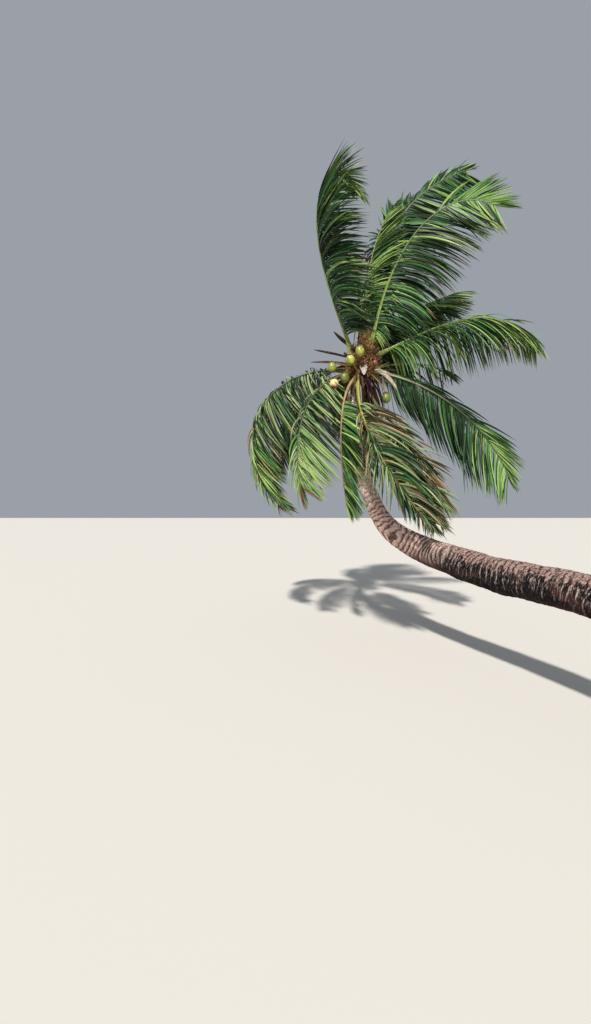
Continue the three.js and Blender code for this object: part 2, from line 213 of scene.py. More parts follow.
# %% [markdown]
# ## Straight pieces
#
# A rib, a stalk or a strip of dry leaf starts as a disc. It could be a cylinder cut into slices, but a
# disc that is extruded from station to station, and resized at each, gets its taper as it grows. Its
# last ring is merged into a point where the real thing ends in one.

# %% Rods
def straight_rod(name, sides, stations, pointed=True):
    """A rod along +Z through stations of (share of length, half width, half height)."""
    select_only()
    bpy.ops.mesh.primitive_circle_add(vertices=sides, radius=1, fill_type="NGON")
    rod = bpy.context.object
    rod.name = name
    bpy.ops.object.mode_set(mode="EDIT")
    bpy.ops.mesh.select_all(action="SELECT")
    at, wide, high = stations[0]
    bpy.ops.transform.translate(value=(0, 0, at))
    bpy.ops.transform.resize(value=(wide, high, 1))
    for next_at, next_wide, next_high in stations[1:]:
        bpy.ops.mesh.extrude_region_move(TRANSFORM_OT_translate={"value": (0, 0, next_at - at)})
        bpy.ops.transform.resize(value=(next_wide / wide, next_high / high, 1))
        at, wide, high = next_at, next_wide, next_high
    if pointed:
        bpy.ops.mesh.merge(type="CENTER")
    bpy.ops.mesh.select_all(action="SELECT")
    bpy.ops.mesh.normals_make_consistent(inside=False)
    bpy.ops.object.mode_set(mode="OBJECT")
    return rod

# %% Points, smoothing and modifiers
def points_of(piece):
    points = np.empty(len(piece.data.vertices) * 3)
    piece.data.vertices.foreach_get("co", points)
    return points.reshape(-1, 3)


def shape_taken(piece):
    """The points and faces of a model that only serves as a pattern, which is then removed."""
    points = points_of(piece)
    faces = [list(face.vertices) for face in piece.data.polygons]
    bpy.data.objects.remove(piece)
    return points, faces


def move_points(piece, points):
    piece.data.vertices.foreach_set("co", np.asarray(points, np.float32).ravel())
    piece.data.update()


def smooth(piece, degrees):
    """Shades smooth across edges that turn by less than this."""
    select_only(piece)
    bpy.ops.object.shade_smooth_by_angle(angle=math.radians(degrees))


def add_modifier(piece, kind, **values):
    """Adds a modifier with these values and applies it."""
    select_only(piece)
    modifier = piece.modifiers.new(kind.title(), kind)
    for name, value in values.items():
        setattr(modifier, name, value)
    bpy.ops.object.modifier_apply(modifier=modifier.name)


def refine(piece, levels):
    """Splits each face in four, levels times over, and rounds nothing."""
    add_modifier(piece, "SUBSURF", subdivision_type="SIMPLE", levels=levels, render_levels=levels)


def turn_of(points):
    """How far round +Z each point lies, as a share of a turn."""
    return np.arctan2(points[:, 1], points[:, 0]) / (2 * math.pi) % 1


# %% What a mesh keeps, and how it joins the palm
def write_values(piece, name, values):
    """Keeps one number a point on the mesh, for its material to read."""
    layer = piece.data.attributes.new(name, "FLOAT", "POINT")
    layer.data.foreach_set("value", np.asarray(values, np.float32))


def write_straight(piece, points):
    """Keeps where each point was before its piece was bent, so that a grain can follow the bend."""
    layer = piece.data.attributes.new("straight", "FLOAT_VECTOR", "POINT")
    layer.data.foreach_set("vector", np.asarray(points, np.float32).ravel())


def settle(piece, slot, *nodes):
    """Fixes a finished piece to the palm in place of its plain solids."""
    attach(piece, "root")
    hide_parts(*nodes)


def joined(name, shapes, materials, picks=None):
    """One mesh from many (points, faces), with a material number for each face of each shape."""
    points = np.vstack([shape[0] for shape in shapes])
    starts = np.cumsum([0] + [len(shape[0]) for shape in shapes[:-1]])
    faces = [[int(start) + k for k in face] for start, shape in zip(starts, shapes) for face in shape[1]]
    mesh = bpy.data.meshes.new(name)
    mesh.from_pydata(points.tolist(), [], faces)
    for material in materials:
        mesh.materials.append(material)
    if picks is not None:
        mesh.polygons.foreach_set("material_index", np.concatenate(picks).astype(np.int32))
    piece = bpy.data.objects.new(name, mesh)
    bpy.context.scene.collection.objects.link(piece)
    return piece


# %% [markdown]
# ## Finishes
#
# Each material is a small tree of nodes: noise, ramps and mixes for the colour, and the same noise as
# bump. It could be drawn in the node editor. Here a class with a short word for each kind of node
# keeps the trees short to write. Noise lies in the piece's own space, which suits stains, or in the
# space from before the piece was bent, so that a grain follows the bend. Colours are linear.

# %% A finish and its nodes
NOISE_ROUGHNESS = 0.6


class Finish:
    """A material being made: its node tree, its shader, and a word for each kind of node."""

    def __init__(self, name, roughness, specular=0.5):
        self.material = bpy.data.materials.new(name)
        self.material.use_nodes = True
        self.tree = self.material.node_tree
        self.shader = self.tree.nodes["Principled BSDF"].inputs
        self.shader["Roughness"].default_value = roughness
        self.shader["Specular IOR Level"].default_value = specular

    def one_colour(self, colour):
        self.shader["Base Color"].default_value = (*colour, 1)
        return self.material

    def node(self, kind, inputs, result, **settings):
        """Adds a node, sets or links its inputs, and gives one of its results."""
        node = self.tree.nodes.new("ShaderNode" + kind)
        for name, value in settings.items():
            setattr(node, name, value)
        for key, value in inputs.items():
            if isinstance(value, bpy.types.NodeSocket):
                self.tree.links.new(value, node.inputs[key])
            else:
                node.inputs[key].default_value = value
        return node.outputs[result]

    def noise(self, place, scale, detail, stretch):
        place = self.node("Mapping", {"Vector": place, "Scale": (1, 1, stretch)}, "Vector")
        inputs = {"Vector": place, "Scale": scale, "Detail": detail, "Roughness": NOISE_ROUGHNESS}
        return self.node("TexNoise", inputs, "Fac")

    def patches(self, scale, detail, stretch=1):
        """Noise in the piece's own space."""
        return self.noise(self.node("TexCoord", {}, "Object"), scale, detail, stretch)

    def grain(self, scale, detail, stretch=1):
        """Noise in the space from before the piece was bent."""
        straight = self.node("Attribute", {}, "Vector", attribute_name="straight")
        return self.noise(straight, scale, detail, stretch)

    def kept(self, name):
        """A number that the mesh keeps for each point."""
        return self.node("Attribute", {}, "Fac", attribute_name=name)

    def spread(self, value, low, high):
        """A value from low to high, spread to run softly from 0 to 1."""
        inputs = {"Value": value, "From Min": low, "From Max": high}
        return self.node("MapRange", inputs, "Result", interpolation_type="SMOOTHSTEP")

    def times(self, a, b):
        return self.node("Math", {0: a, 1: b}, "Value", operation="MULTIPLY", use_clamp=True)

    def plus(self, a, b):
        return self.node("Math", {0: a, 1: b}, "Value", operation="ADD", use_clamp=True)

    def raised(self, value, other, weight):
        """A value with some of another added, and not held under 1."""
        return self.node("Math", {0: other, 1: weight, 2: value}, "Value", operation="MULTIPLY_ADD")

    def mixed(self, share, a, b):
        """Two colours, or sockets with colours, mixed by share."""
        a, b = (c if isinstance(c, bpy.types.NodeSocket) else (*c, 1) for c in (a, b))
        return self.node("Mix", {0: share, 6: a, 7: b}, 2, data_type="RGBA")

    def ramp(self, value, low, high, a, b):
        """Colour a where the value is low, and colour b where it is high."""
        return self.mixed(self.spread(value, low, high), a, b)

    def coated(self, colour, height, strength, distance):
        """Sends colour and bump to the shader, and gives the finished material."""
        self.tree.links.new(colour, self.shader["Base Color"])
        inputs = {"Height": height, "Strength": strength, "Distance": distance}
        self.tree.links.new(self.node("Bump", inputs, "Normal"), self.shader["Normal"])
        return self.material


# %% [markdown]
# ## Trunk
#
# A palm's trunk has no bark plates. Each fallen frond has left a ring scar, a low step with a frayed
# lip, every few centimetres, and fine fibres run along it between the scars. Its upper side is
# bleached by the sun and painted lighter as painted sunlight, its underside is dark with algae and
# painted shade, and the lips on the dark side carry painted highlights. Where it bends upright the
# rings show as bands: ridges brightened as painted sunlight, with painted shade in the grooves and
# under the bend. The slender stem is brightened as painted sunlight. The rings could be bump only,
# but they show on the outline, so they are relief in the mesh: a rod is extruded ring by ring, split
# finer by a modifier, and every point is pushed in or out by a function of its place.

# %% The trunk's way
TRUNK_WAY = np.array([
    (0, 0, 0), (-0.105, 0.250, 0.300), (-0.425, 1.014, 0.735), (-0.780, 1.863, 0.897),
    (-1.100, 2.600, 0.945), (-1.332, 3.140, 1.028), (-1.464, 3.445, 1.088), (-1.845, 3.660, 1.330),
    (-2.065, 3.760, 1.743), (-2.200, 3.830, 2.240), (-2.231, 3.870, 2.867), (-2.192, 3.880, 3.119),
    (-2.098, 3.920, 3.634),
])
LEVEL_RUN = 0.52


def smoothstep(x, low, high):
    share = np.clip((x - low) / (high - low), 0, 1)
    return share * share * (3 - 2 * share)


def spline_stretch(p, per_stretch):
    """Points of a centripetal Catmull-Rom spline from p[1] to p[2]."""
    gaps = [float(np.linalg.norm(p[k + 1] - p[k])) ** 0.5 for k in range(3)]

    def slope(a, b, c, first, second):
        return ((b - a) / first - (c - a) / (first + second) + (c - b) / second) * gaps[1]

    leave, arrive = slope(p[0], p[1], p[2], gaps[0], gaps[1]), slope(p[1], p[2], p[3], gaps[1], gaps[2])
    w = np.linspace(0, 1, per_stretch, endpoint=False)[:, None]
    return (p[1] + leave * w + (3 * (p[2] - p[1]) - 2 * leave - arrive) * w**2
            + (2 * (p[1] - p[2]) + leave + arrive) * w**3)


class TrunkWay:
    """The trunk's line, by metres along it. Its foot is level, and then it turns square to the line."""

    def __init__(self):
        ends = [2 * TRUNK_WAY[0] - TRUNK_WAY[1]], [2 * TRUNK_WAY[-1] - TRUNK_WAY[-2]]
        knots = np.vstack([ends[0], TRUNK_WAY, ends[1]])
        stretches = [spline_stretch(knots[k:k + 4], 80) for k in range(len(TRUNK_WAY) - 1)]
        self.points = np.vstack([*stretches, TRUNK_WAY[-1:]])
        steps = np.linalg.norm(np.diff(self.points, axis=0), axis=1)
        self.marks = np.concatenate([[0], np.cumsum(steps)])
        self.slopes = np.gradient(self.points, self.marks, axis=0)
        self.length = self.marks[-1]

    def place(self, s):
        return between(s, self.marks, self.points)

    def face(self, s):
        slope = between(s, self.marks, self.slopes)
        turned = smoothstep(s, 0, LEVEL_RUN)[:, None]
        return facing(unit(blend(UP, slope, turned)), WIND)


trunk_way = TrunkWay()
print("trunk", round(float(trunk_way.length), 3), "m long")

# %% How thick the trunk is
TRUNK_WIDE = 0.316
TRUNK_SLIM = 0.182
NARROW_FROM = 3.85
NARROW_TO = 5.25
FLARE = 0.264
FLARE_RUN = 0.30
TRUNK_SPLIT = 4.60
HALF_GAP = 0.00015


def trunk_width(s):
    return (blend(TRUNK_WIDE, TRUNK_SLIM, smoothstep(s, NARROW_FROM, NARROW_TO))
            + FLARE * np.exp(-s / FLARE_RUN))


print("trunk width at 1 m", round(float(trunk_width(1.0)), 3), "m")

# %% Relief of the ring scars
RING_STEP = 0.058
RING_STEP_AT_BEND = 0.066
BEND_STARTS = (3.5, 3.95)
BEND_ENDS = (4.75, 5.15)
LIP_AT = 0.75
RING_RELIEF = 0.0028
FRAY_RELIEF = 0.0050
LUMP_RELIEF = 0.008


def smooth_noise(turn, along, around, per_metre, seed):
    """Random relief from -1 to 1 over a cylinder, which closes on itself round the turn."""
    rows = int(np.ceil(along.max() * per_metre)) + 3
    grid = np.random.default_rng(seed).uniform(-1, 1, (rows, around))
    x, y = turn * around, along * per_metre
    i, j = np.floor(x).astype(int), np.floor(y).astype(int)
    fx, fy = smoothstep(x - i, 0, 1), smoothstep(y - j, 0, 1)
    low = blend(grid[j, i % around], grid[j, (i + 1) % around], fx)
    high = blend(grid[j + 1, i % around], grid[j + 1, (i + 1) % around], fx)
    return blend(low, high, fy)


def bend_share(s):
    """1 along the bend and 0 far from it."""
    return smoothstep(s, *BEND_STARTS) * (1 - smoothstep(s, *BEND_ENDS))


def ring_count(s):
    """How many rings lie below each place, added up centimetre by centimetre."""
    marks, step = np.linspace(0, 7, 701, retstep=True)
    rings = np.cumsum(step / blend(RING_STEP, RING_STEP_AT_BEND, bend_share(marks)))
    return np.interp(s, marks, rings)


def ring_profile(turn, s):
    """How proud a scar's lip stands, from 0 in the groove to 1 at the lip."""
    sway = (0.7 * smooth_noise(turn, s, 4, 3, 11) + 0.55 * smooth_noise(turn, s, 5, 11, 13)
            + 0.25 * smooth_noise(turn, s, 15, 12, 12))
    phase = ring_count(s) + sway
    rise = phase - np.floor(phase)
    return np.where(rise < LIP_AT, rise / LIP_AT, (1 - rise) / (1 - LIP_AT)) ** 1.5


def trunk_relief(turn, s):
    """The push out or in at each point, and the lip and fray values for the finish."""
    lip = ring_profile(turn, s)
    strength = 0.7 + 0.5 * smooth_noise(turn, s, 11, 17, 14)
    fray = smooth_noise(turn, s, 110, 24, 15) * (0.4 + 0.6 * lip)
    lumps = smooth_noise(turn, s, 7, 6, 16)
    return (lip - 0.5) * strength * RING_RELIEF + fray * FRAY_RELIEF + lumps * LUMP_RELIEF, lip, fray


print("rings", int(ring_count(trunk_way.length)))


# %% Trunk pieces
STEM_STARTS = (3.5, 4.7)
BARK_RADIUS = 0.16
SKIN_FROM = 0.95
SPLIT_FINER = 3


def trunk_piece(name, start, end, sides, step):
    """A stretch of trunk. stem grows to 1 up the slender part, and sky is higher on the lit side."""
    at = np.linspace(start, end, math.ceil((end - start) / step) + 1)
    radius = trunk_width(at) / 2
    piece = straight_rod(name, sides, list(zip(at, radius, radius)), pointed=False)
    refine(piece, SPLIT_FINER)
    points = points_of(piece)
    s = points[:, 2].clip(start, end)
    turn = turn_of(points)
    share = np.hypot(points[:, 0], points[:, 1]) / (trunk_width(s) / 2)
    push, lip, fray = trunk_relief(turn, s)
    radius = np.where(share > SKIN_FROM, trunk_width(s) / 2 + push, share * trunk_width(s) / 2)
    _, across, above = trunk_way.face(s)
    angle = turn * 2 * math.pi
    outward = across * np.cos(angle)[:, None] + above * np.sin(angle)[:, None]
    move_points(piece, trunk_way.place(s) + outward * radius[:, None])
    stem = smoothstep(s, *STEM_STARTS)
    # The upper side, and the stem more than the rest, count as sunlit: the finish paints them lighter,
    # partly as bleaching and partly as painted sunlight.
    sunlit_and_weathered = outward[:, 2] + 0.10 + stem * (0.80 - 0.3 * outward[:, 2])
    sky = sunlit_and_weathered + 0.16 * smooth_noise(turn, s, 14, 21, 17)
    kept = {"lip": lip, "fray": fray, "stem": stem, "bend": bend_share(s), "sky": sky}
    for value_name, values in kept.items():
        write_values(piece, value_name, values)
    straight = np.column_stack([np.cos(angle), np.sin(angle), s / BARK_RADIUS]) * BARK_RADIUS
    write_straight(piece, straight)
    smooth(piece, 60)
    print(name, len(piece.data.polygons), "faces")
    return piece


# %% Bark colours
# The dark bark is algae and painted shade, the bleached bark is bleaching and painted sunlight, and the
# lip colour is a painted highlight. The stem and bend colours are brightened as painted sunlight, and
# the bend's groove colour is painted shade, in the grooves and under the bend.
DARK_BARK = (0.008, 0.006, 0.007)
RED_BARK = (0.050, 0.022, 0.019)
LIP_HIGHLIGHT_BARK = (0.50, 0.42, 0.37)
BLEACHED_AND_SUNLIT_BARK = (0.43, 0.305, 0.270)
WORN_BARK = (0.160, 0.090, 0.080)
STEM_BARK_PAINTED_SUN = (0.30, 0.195, 0.168)
STEM_MIDDLE_PAINTED_SUN = (0.92, 0.58, 0.49)
STEM_LIGHT_PAINTED_SUN = (1.0, 0.80, 0.72)
BEND_GROOVE_SHADE = (0.085, 0.046, 0.042)
BEND_BARK_PAINTED_SUN = (0.42, 0.285, 0.250)


# %% Bark on the underside, on the upper side and at the bend
def shaded_bark(coat, lip, sky, stem, strokes, brushed):
    """Dark bark of algae and painted shade, with painted highlights along the lips, fewer where it faces
    down.
    """
    bark = coat.ramp(coat.patches(6.0, 4), 0.46, 0.70, DARK_BARK, RED_BARK)
    bark = coat.mixed(coat.times(stem, 0.8), bark, STEM_BARK_PAINTED_SUN)
    shoulder = coat.spread(sky, -0.75, 0.45)
    drawn = coat.times(coat.spread(lip, 0.60, 0.92), coat.spread(strokes, 0.44, 0.56))
    drawn = coat.times(drawn, coat.spread(coat.grain(5.0, 3), 0.34, 0.54))
    drawn = coat.times(drawn, coat.plus(shoulder, 0.12))
    thin = coat.times(coat.spread(brushed, 0.55, 0.66), shoulder)
    drawn = coat.plus(drawn, coat.times(thin, 0.55))
    return coat.mixed(drawn, bark, LIP_HIGHLIGHT_BARK)


def sunny_bark(coat, lip, stem, strokes, fibres, specks):
    """Bleached bark and painted sunlight, with specks and with painted shade in its grooves, fewer up
    the stem.
    """
    thick = coat.ramp(fibres, 0.32, 0.62, WORN_BARK, BLEACHED_AND_SUNLIT_BARK)
    slender = coat.ramp(fibres, 0.30, 0.55, STEM_MIDDLE_PAINTED_SUN, STEM_LIGHT_PAINTED_SUN)
    bark = coat.mixed(stem, thick, slender)
    speckled = coat.times(coat.spread(specks, 0.52, 0.60), coat.spread(stem, 1.8, 0.1))
    bark = coat.mixed(speckled, bark, RED_BARK)
    grooves = coat.times(coat.spread(lip, 0.42, 0.06), coat.spread(strokes, 0.44, 0.56))
    grooves = coat.times(grooves, coat.spread(stem, 1.6, 0.3))
    return coat.mixed(grooves, bark, DARK_BARK)


def banded_bark(coat, lip, sky, stem, strokes, brushed, specks):
    """Painted shade in the grooves and under the bend, between ridges brightened as painted sunlight,
    broken up by brushed noise.
    """
    ringed = coat.raised(lip, brushed, 1.8)
    ridges = coat.mixed(stem, BEND_BARK_PAINTED_SUN, STEM_MIDDLE_PAINTED_SUN)
    bark = coat.ramp(ringed, 0.92, 1.30, BEND_GROOVE_SHADE, ridges)
    bright = coat.times(coat.spread(ringed, 1.30, 1.75), coat.spread(strokes, 0.40, 0.54))
    bark = coat.mixed(bright, bark, STEM_LIGHT_PAINTED_SUN)
    bark = coat.ramp(sky, -0.35, 0.35, BEND_GROOVE_SHADE, bark)
    return coat.ramp(specks, 0.60, 0.66, bark, WORN_BARK)


def bark_material():
    coat = Finish("bark", 0.90, 0.1)
    lip, fray, sky, stem, bend = (coat.kept(name) for name in ("lip", "fray", "sky", "stem", "bend"))
    fibres, specks = coat.grain(170.0, 3, 0.22), coat.grain(34.0, 4, 2.2)
    strokes, brushed = coat.grain(14.0, 4, 5), coat.grain(22.0, 3, 6)
    shaded = shaded_bark(coat, lip, sky, stem, strokes, brushed)
    sunny = sunny_bark(coat, lip, stem, strokes, fibres, specks)
    banded = banded_bark(coat, lip, sky, stem, strokes, brushed, specks)
    ragged = coat.raised(coat.raised(sky, strokes, 1.5), lip, 0.10)
    colour = coat.ramp(ragged, 1.34, 1.50, shaded, sunny)
    colour = coat.mixed(coat.times(bend, 0.85), colour, banded)
    return coat.coated(colour, coat.plus(fibres, coat.times(fray, 0.5)), 0.8, 0.012)


# %% The trunk, below and above the bend
HIDDEN_IN_HEART = 0.07

bark = bark_material()
trunk_top = float(trunk_way.length - np.linalg.norm(CROWN_TOP - CROWN_FOOT)) + HIDDEN_IN_HEART
for name, start, end, sides, step in (
        ("trunk_lower", 0.0, TRUNK_SPLIT - HALF_GAP, 16, 0.056),
        ("trunk_upper", TRUNK_SPLIT + HALF_GAP, trunk_top, 12, 0.052)):
    piece = trunk_piece(name + "_bark", start, end, sides, step)
    piece.data.materials.append(bark)
    settle(piece, "bark", name)

# %% [markdown]
# ## Heart of the crown
#
# The heart is where the frond bases wrap round the growing tip. Old bases have frayed into a brown
# net of crossing fibres. A plain lump could stand in for it. Here a swollen rod carries the folds of
# the wrapped bases as relief, and loose fibres are laid over it as separate thin strands.

# %% The heart's core
HEART = [(0, 0.094), (0.070, 0.118), (0.170, 0.150), (0.290, 0.152), (0.400, 0.122), (0.500, 0.084),
         (0.580, 0.048), (0.620, 0.022)]
FOLD_RELIEF = 0.012
HEART_BROWNS = (0.060, 0.028, 0.015), (0.24, 0.12, 0.045)
HEART_SHADOW = (0.030, 0.015, 0.012)
HEART_GAP_SHADE = (0.012, 0.006, 0.005)
LOW_PART = (0.10, 0.34)


class CrownLine:
    """The crown's straight axis, by metres above the crown's foot."""

    def place(self, level):
        return CROWN_FOOT + CROWN_AXIS * np.asarray(level)[:, None]

    def face(self, level):
        return facing(np.tile(CROWN_AXIS, (len(level), 1)), WIND)


crown_line = CrownLine()


def read_off(table, at):
    """A table's second column, read off between the places in its first."""
    return np.interp(at, *zip(*table))


def heart_radius(level):
    return read_off(HEART, level)


print("heart", 2 * max(radius for _, radius in HEART), "m across")


# %% The heart's finish and its mesh
def heart_material():
    coat = Finish("heart_fibre", 0.95, 0.2)
    net = coat.times(coat.grain(90.0, 3, 0.3), coat.grain(30.0, 3, 4))
    brown = coat.ramp(coat.patches(9.0, 3), 0.4, 0.65, *HEART_BROWNS)
    # The lower part is darkened as painted shade, and the gaps in the net are painted shade.
    brown = coat.mixed(coat.kept("low"), brown, HEART_SHADOW)
    colour = coat.ramp(net, 0.18, 0.36, HEART_GAP_SHADE, brown)
    return coat.coated(colour, net, 1.0, 0.012)


def heart_piece():
    piece = straight_rod("crown_heart_core", 16, [(z, r, r) for z, r in HEART], pointed=False)
    refine(piece, SPLIT_FINER)
    points = points_of(piece)
    level, turn = points[:, 2].copy(), turn_of(points)
    folds = smooth_noise(turn, level, 13, 5, 21) + 0.6 * smooth_noise(turn, level, 31, 12, 22)
    full = heart_radius(level)
    reach = np.hypot(points[:, 0], points[:, 1])
    reach = np.where(reach > SKIN_FROM * full, full + folds * FOLD_RELIEF, reach)
    points[:, 0] = reach * np.cos(turn * 2 * math.pi)
    points[:, 1] = reach * np.sin(turn * 2 * math.pi)
    move_points(piece, laid_along(points, crown_line))
    write_straight(piece, points)
    write_values(piece, "low", 1 - smoothstep(level, *LOW_PART))
    piece.data.materials.append(heart_material())
    smooth(piece, 60)
    settle(piece, "heart", "crown_heart")
    return piece


print("heart", len(heart_piece().data.polygons), "faces")

# %% [markdown]
# ## Fronds: the ribs
#
# A frond is a feather up to three metres long. Its rib starts as a broad sheath that clasps the heart,
# turns into a channelled stalk and tapers to a string. Each could be a curve with a taper. Here one
# rod, drawn straight, is copied for every frond, each copy with its own mesh, and laid along that
# frond's way. The fronds' starts, directions and lengths are those of the plain solids.
#
# A frond's row holds all that is its own. It starts with its level on the heart, how far out it
# starts, the directions of its foot, middle and tip, its length and how late it turns. Then come its
# longest leaflet and the wind on it, side for how it is turned about its length, and what sets its
# leaflets and their colours apart, which the next chapter uses.

# %% The fronds' ways
LEAF_DROOP = 35


def frond(level, out, foot, middle, tip, length, late, leaf, wind, side=None, nodes=1, rib="fresh",
          **own):
    """One frond. What own leaves out is that of an ordinary frond."""
    way = Way(foot, tip, length, crown_point(foot[0], out, level), middle, side, late)
    usual = {"bare": 0.12, "stiff": 1.3, "stiffens": 2, "droop": LEAF_DROOP, "lull": 1.0, "broad": 1.0,
             "ruffled": 0.0, "torn": None, "tone": 1.6, "yellows": 0.3, "older": False,
             "browned": 0.03, "rusty": False}
    return {"way": way, "leaf": leaf, "wind": wind, "nodes": nodes, "rib": rib, **usual, **own}


FRONDS = {
    "frond_windward_tall": frond(
        0.30, 0.09, (203, 64), (0, 83), (0, -53), 2.66, 2.2, 0.70, 1.2,
        stiff=3, nodes=2, tone=0.5, yellows=3.4),
    "frond_young": frond(
        0.47, 0.05, (80, 87), (50, 85), (10, 60), 2.00, 1, 0.56, 0.2,
        stiff=4, bare=0.07, tone=2.9, rib="yellow"),
    "frond_top": frond(
        0.40, 0.08, (25, 89), (24, 73), (-12, 7), 2.93, 1.17, 0.78, 0.6,
        side=(155, 60), stiff=6, bare=0.07, broad=1.4, tone=-0.3, yellows=1.2),
    "frond_front_high": frond(
        0.38, 0.09, (-30, 79), (-25, 49), (-12, -42), 2.52, 1.55, 0.80, 0.5,
        side=(110, 75), stiff=20, stiffens=7, bare=0.15, droop=5, broad=1.1,
        torn=(1, 0.15, 0.80, 0.85), nodes=2, tone=0.7, yellows=1.7),
    "frond_back_high": frond(
        0.33, 0.08, (38, 65), (30, 24), (22, 28), 2.19, 0.95, 0.70, 0.6, stiff=2),
    "frond_lee": frond(
        0.33, 0.08, (-3, 28), (8, 24), (-10, -56), 2.38, 1.28, 0.76, 0.10,
        ruffled=0.05, torn=(0, 0.10, 0.50, 0.45), tone=2.3, yellows=2.2),
    "frond_lee_low": frond(
        0.19, 0.08, (-13, -11), (-12, -41), (-10, -68), 2.26, 0.97, 0.84, 0.6,
        side=(77, 70), stiff=2.5, tone=-0.3, yellows=3.2, rib="dull"),
    "frond_back_lee": frond(
        0.24, 0.08, (36, 20), (34, 14), (34, -5), 1.90, 1, 0.60, 0.3,
        torn=(0, 0.05, 0.95, 0.85), tone=0.5),
    "frond_front_hanging": frond(
        0.08, 0.07, (-104, -39), (-82, -50), (-9, -49), 2.36, 0.98, 0.66, 0.8,
        side=(-75, 0), bare=0.30, droop=60, lull=0.25, broad=1.1, ruffled=0.25,
        tone=1.3, older=True, browned=0.28, rib="yellow"),
    "frond_front_lee": frond(
        0.12, 0.07, (-71, -66), (-44, -20), (-36, -90), 2.13, 1.02, 0.66, 0.6,
        side=(40, 20), bare=0.30, ruffled=0.2,
        tone=0.8, yellows=0.6, older=True, browned=0.34, rib="dull"),
    "frond_front_windward": frond(
        0.06, 0.07, (-120, -15), (-110, -85), (-40, -80), 1.85, 0.8, 0.60, 1.3,
        side=(-80, 0), bare=0.32, lull=0.2, broad=1.25,
        torn=(1, 0.44, 0.86, 0.85), tone=2.3, rib="tan"),
    "frond_windward": frond(
        0.17, 0.08, (176, 14), (176, -65), (-5, -42), 2.78, 1, 0.66, 0.9,
        side=(-94, -30), broad=1.25, ruffled=0.30, nodes=2,
        tone=1.0, yellows=2.6, older=True, rusty=True, rib="dull"),
    "frond_windward_low": frond(
        0.11, 0.08, (210, -5), (215, -75), (-60, -68), 1.98, 0.95, 0.66, 0.9,
        side=(-30, 20), bare=0.20, ruffled=0.22, nodes=2,
        yellows=2.6, older=True, rusty=True, rib="dull"),
    "frond_back": frond(
        0.40, 0.08, (68, 44), (64, 20), (56, -40), 2.30, 1, 0.66, 0.5, tone=0.8),
    "frond_back_windward": frond(
        0.16, 0.08, (140, 12), (130, -40), (110, -70), 2.40, 1, 0.68, 0.4, older=True, rib="dull"),
    "frond_back_hanging": frond(
        0.12, 0.08, (84, 5), (80, -50), (70, -82), 2.20, 1, 0.68, 0.3,
        nodes=2, older=True, rib="dull"),
    "frond_back_middle": frond(
        0.26, 0.08, (103, 24), (90, -5), (72, -50), 2.10, 1, 0.66, 0.4, tone=0.8),
}


def solids_of(name, row):
    return [name] if row["nodes"] == 1 else [name + "_foot", name + "_end"]


print("fronds", len(FRONDS), "longest", max(row["way"].length for row in FRONDS.values()), "m")

# %% One straight rib
RIB_FOOT = 0.150
RIB_STALK = 0.076
RIB_TIP = 0.006
RIB_TAPER = 0.42
RIB_STATIONS = 34
RIB_FLATTER = 0.75
SHEATH_RUN = 0.16
SHEATH_CLASP = 0.45
CHANNEL_DEEP = 0.35
KEEL_DEEP = 1.35


def rib_half_width(u):
    sheath = np.clip(1 - u / SHEATH_RUN, 0, None) ** 2
    stalk = blend(RIB_STALK, RIB_TIP, u**RIB_TAPER)
    return (stalk + (RIB_FOOT - RIB_STALK) * sheath) / 2


def rib_half_height(u):
    return blend(RIB_STALK, RIB_TIP, u**RIB_TAPER) * RIB_FLATTER / 2


def rib_pattern():
    u = np.linspace(0, 1, RIB_STATIONS) ** 1.4
    rod = straight_rod("rib", 12, list(zip(u, rib_half_width(u), rib_half_height(u))))
    points, faces = shape_taken(rod)
    share = points[:, 0] / rib_half_width(points[:, 2])
    channel = CHANNEL_DEEP * (1 - share**2) * np.clip(1 - points[:, 2] * 1.5, 0, 1)
    high = rib_half_height(points[:, 2])
    keel = np.where(points[:, 1] < 0, KEEL_DEEP, 1 - channel)
    sheath = np.clip(1 - points[:, 2] / SHEATH_RUN, 0, 1)
    points[:, 1] = points[:, 1] * keel + share**2 * SHEATH_CLASP * RIB_FOOT * sheath**2
    points[:, 1] -= channel * high * 0.5
    return points, faces


print("rib", RIB_FOOT, "m wide at its foot,", round(2 * float(rib_half_width(0.5)), 3), "m halfway")

# %% Ribs laid along every frond
RIB_SHADES = {
    "fresh": ((0.10, 0.17, 0.030), (0.23, 0.30, 0.060)),
    "dull": ((0.040, 0.050, 0.018), (0.12, 0.13, 0.040)),
    "yellow": ((0.22, 0.24, 0.045), (0.42, 0.42, 0.11)),
    "tan": ((0.20, 0.12, 0.060), (0.46, 0.33, 0.17)),
}
FOOT_BROWN = (0.12, 0.065, 0.026)
TIP_DARKER = 0.7


def rib_material(name, dark, light):
    coat = Finish("rib_" + name, 0.42)
    along, streaks = coat.kept("along"), coat.patches(60.0, 3, 0.4)
    skin = coat.ramp(streaks, 0.35, 0.7, dark, light)
    foot = coat.ramp(streaks, 0.40, 0.60, FOOT_BROWN, light)
    colour = coat.ramp(along, 0.03, 0.10, foot, skin)
    tip = [c * TIP_DARKER for c in dark]
    colour = coat.ramp(along, 0.25, 0.60, colour, tip)
    return coat.coated(colour, streaks, 0.25, 0.004)


rib_finish = {name: rib_material(name, *pair) for name, pair in RIB_SHADES.items()}
rib_points, rib_faces = rib_pattern()
for name, row in FRONDS.items():
    shape = laid_along(rib_points, row["way"]), rib_faces
    rib = joined(name + "_rib", [shape], [rib_finish[row["rib"]]])
    write_values(rib, "along", rib_points[:, 2])
    smooth(rib, 60)
    settle(rib, "frond", *solids_of(name, row))
print("ribs", len(FRONDS), "of", len(rib_faces), "faces")

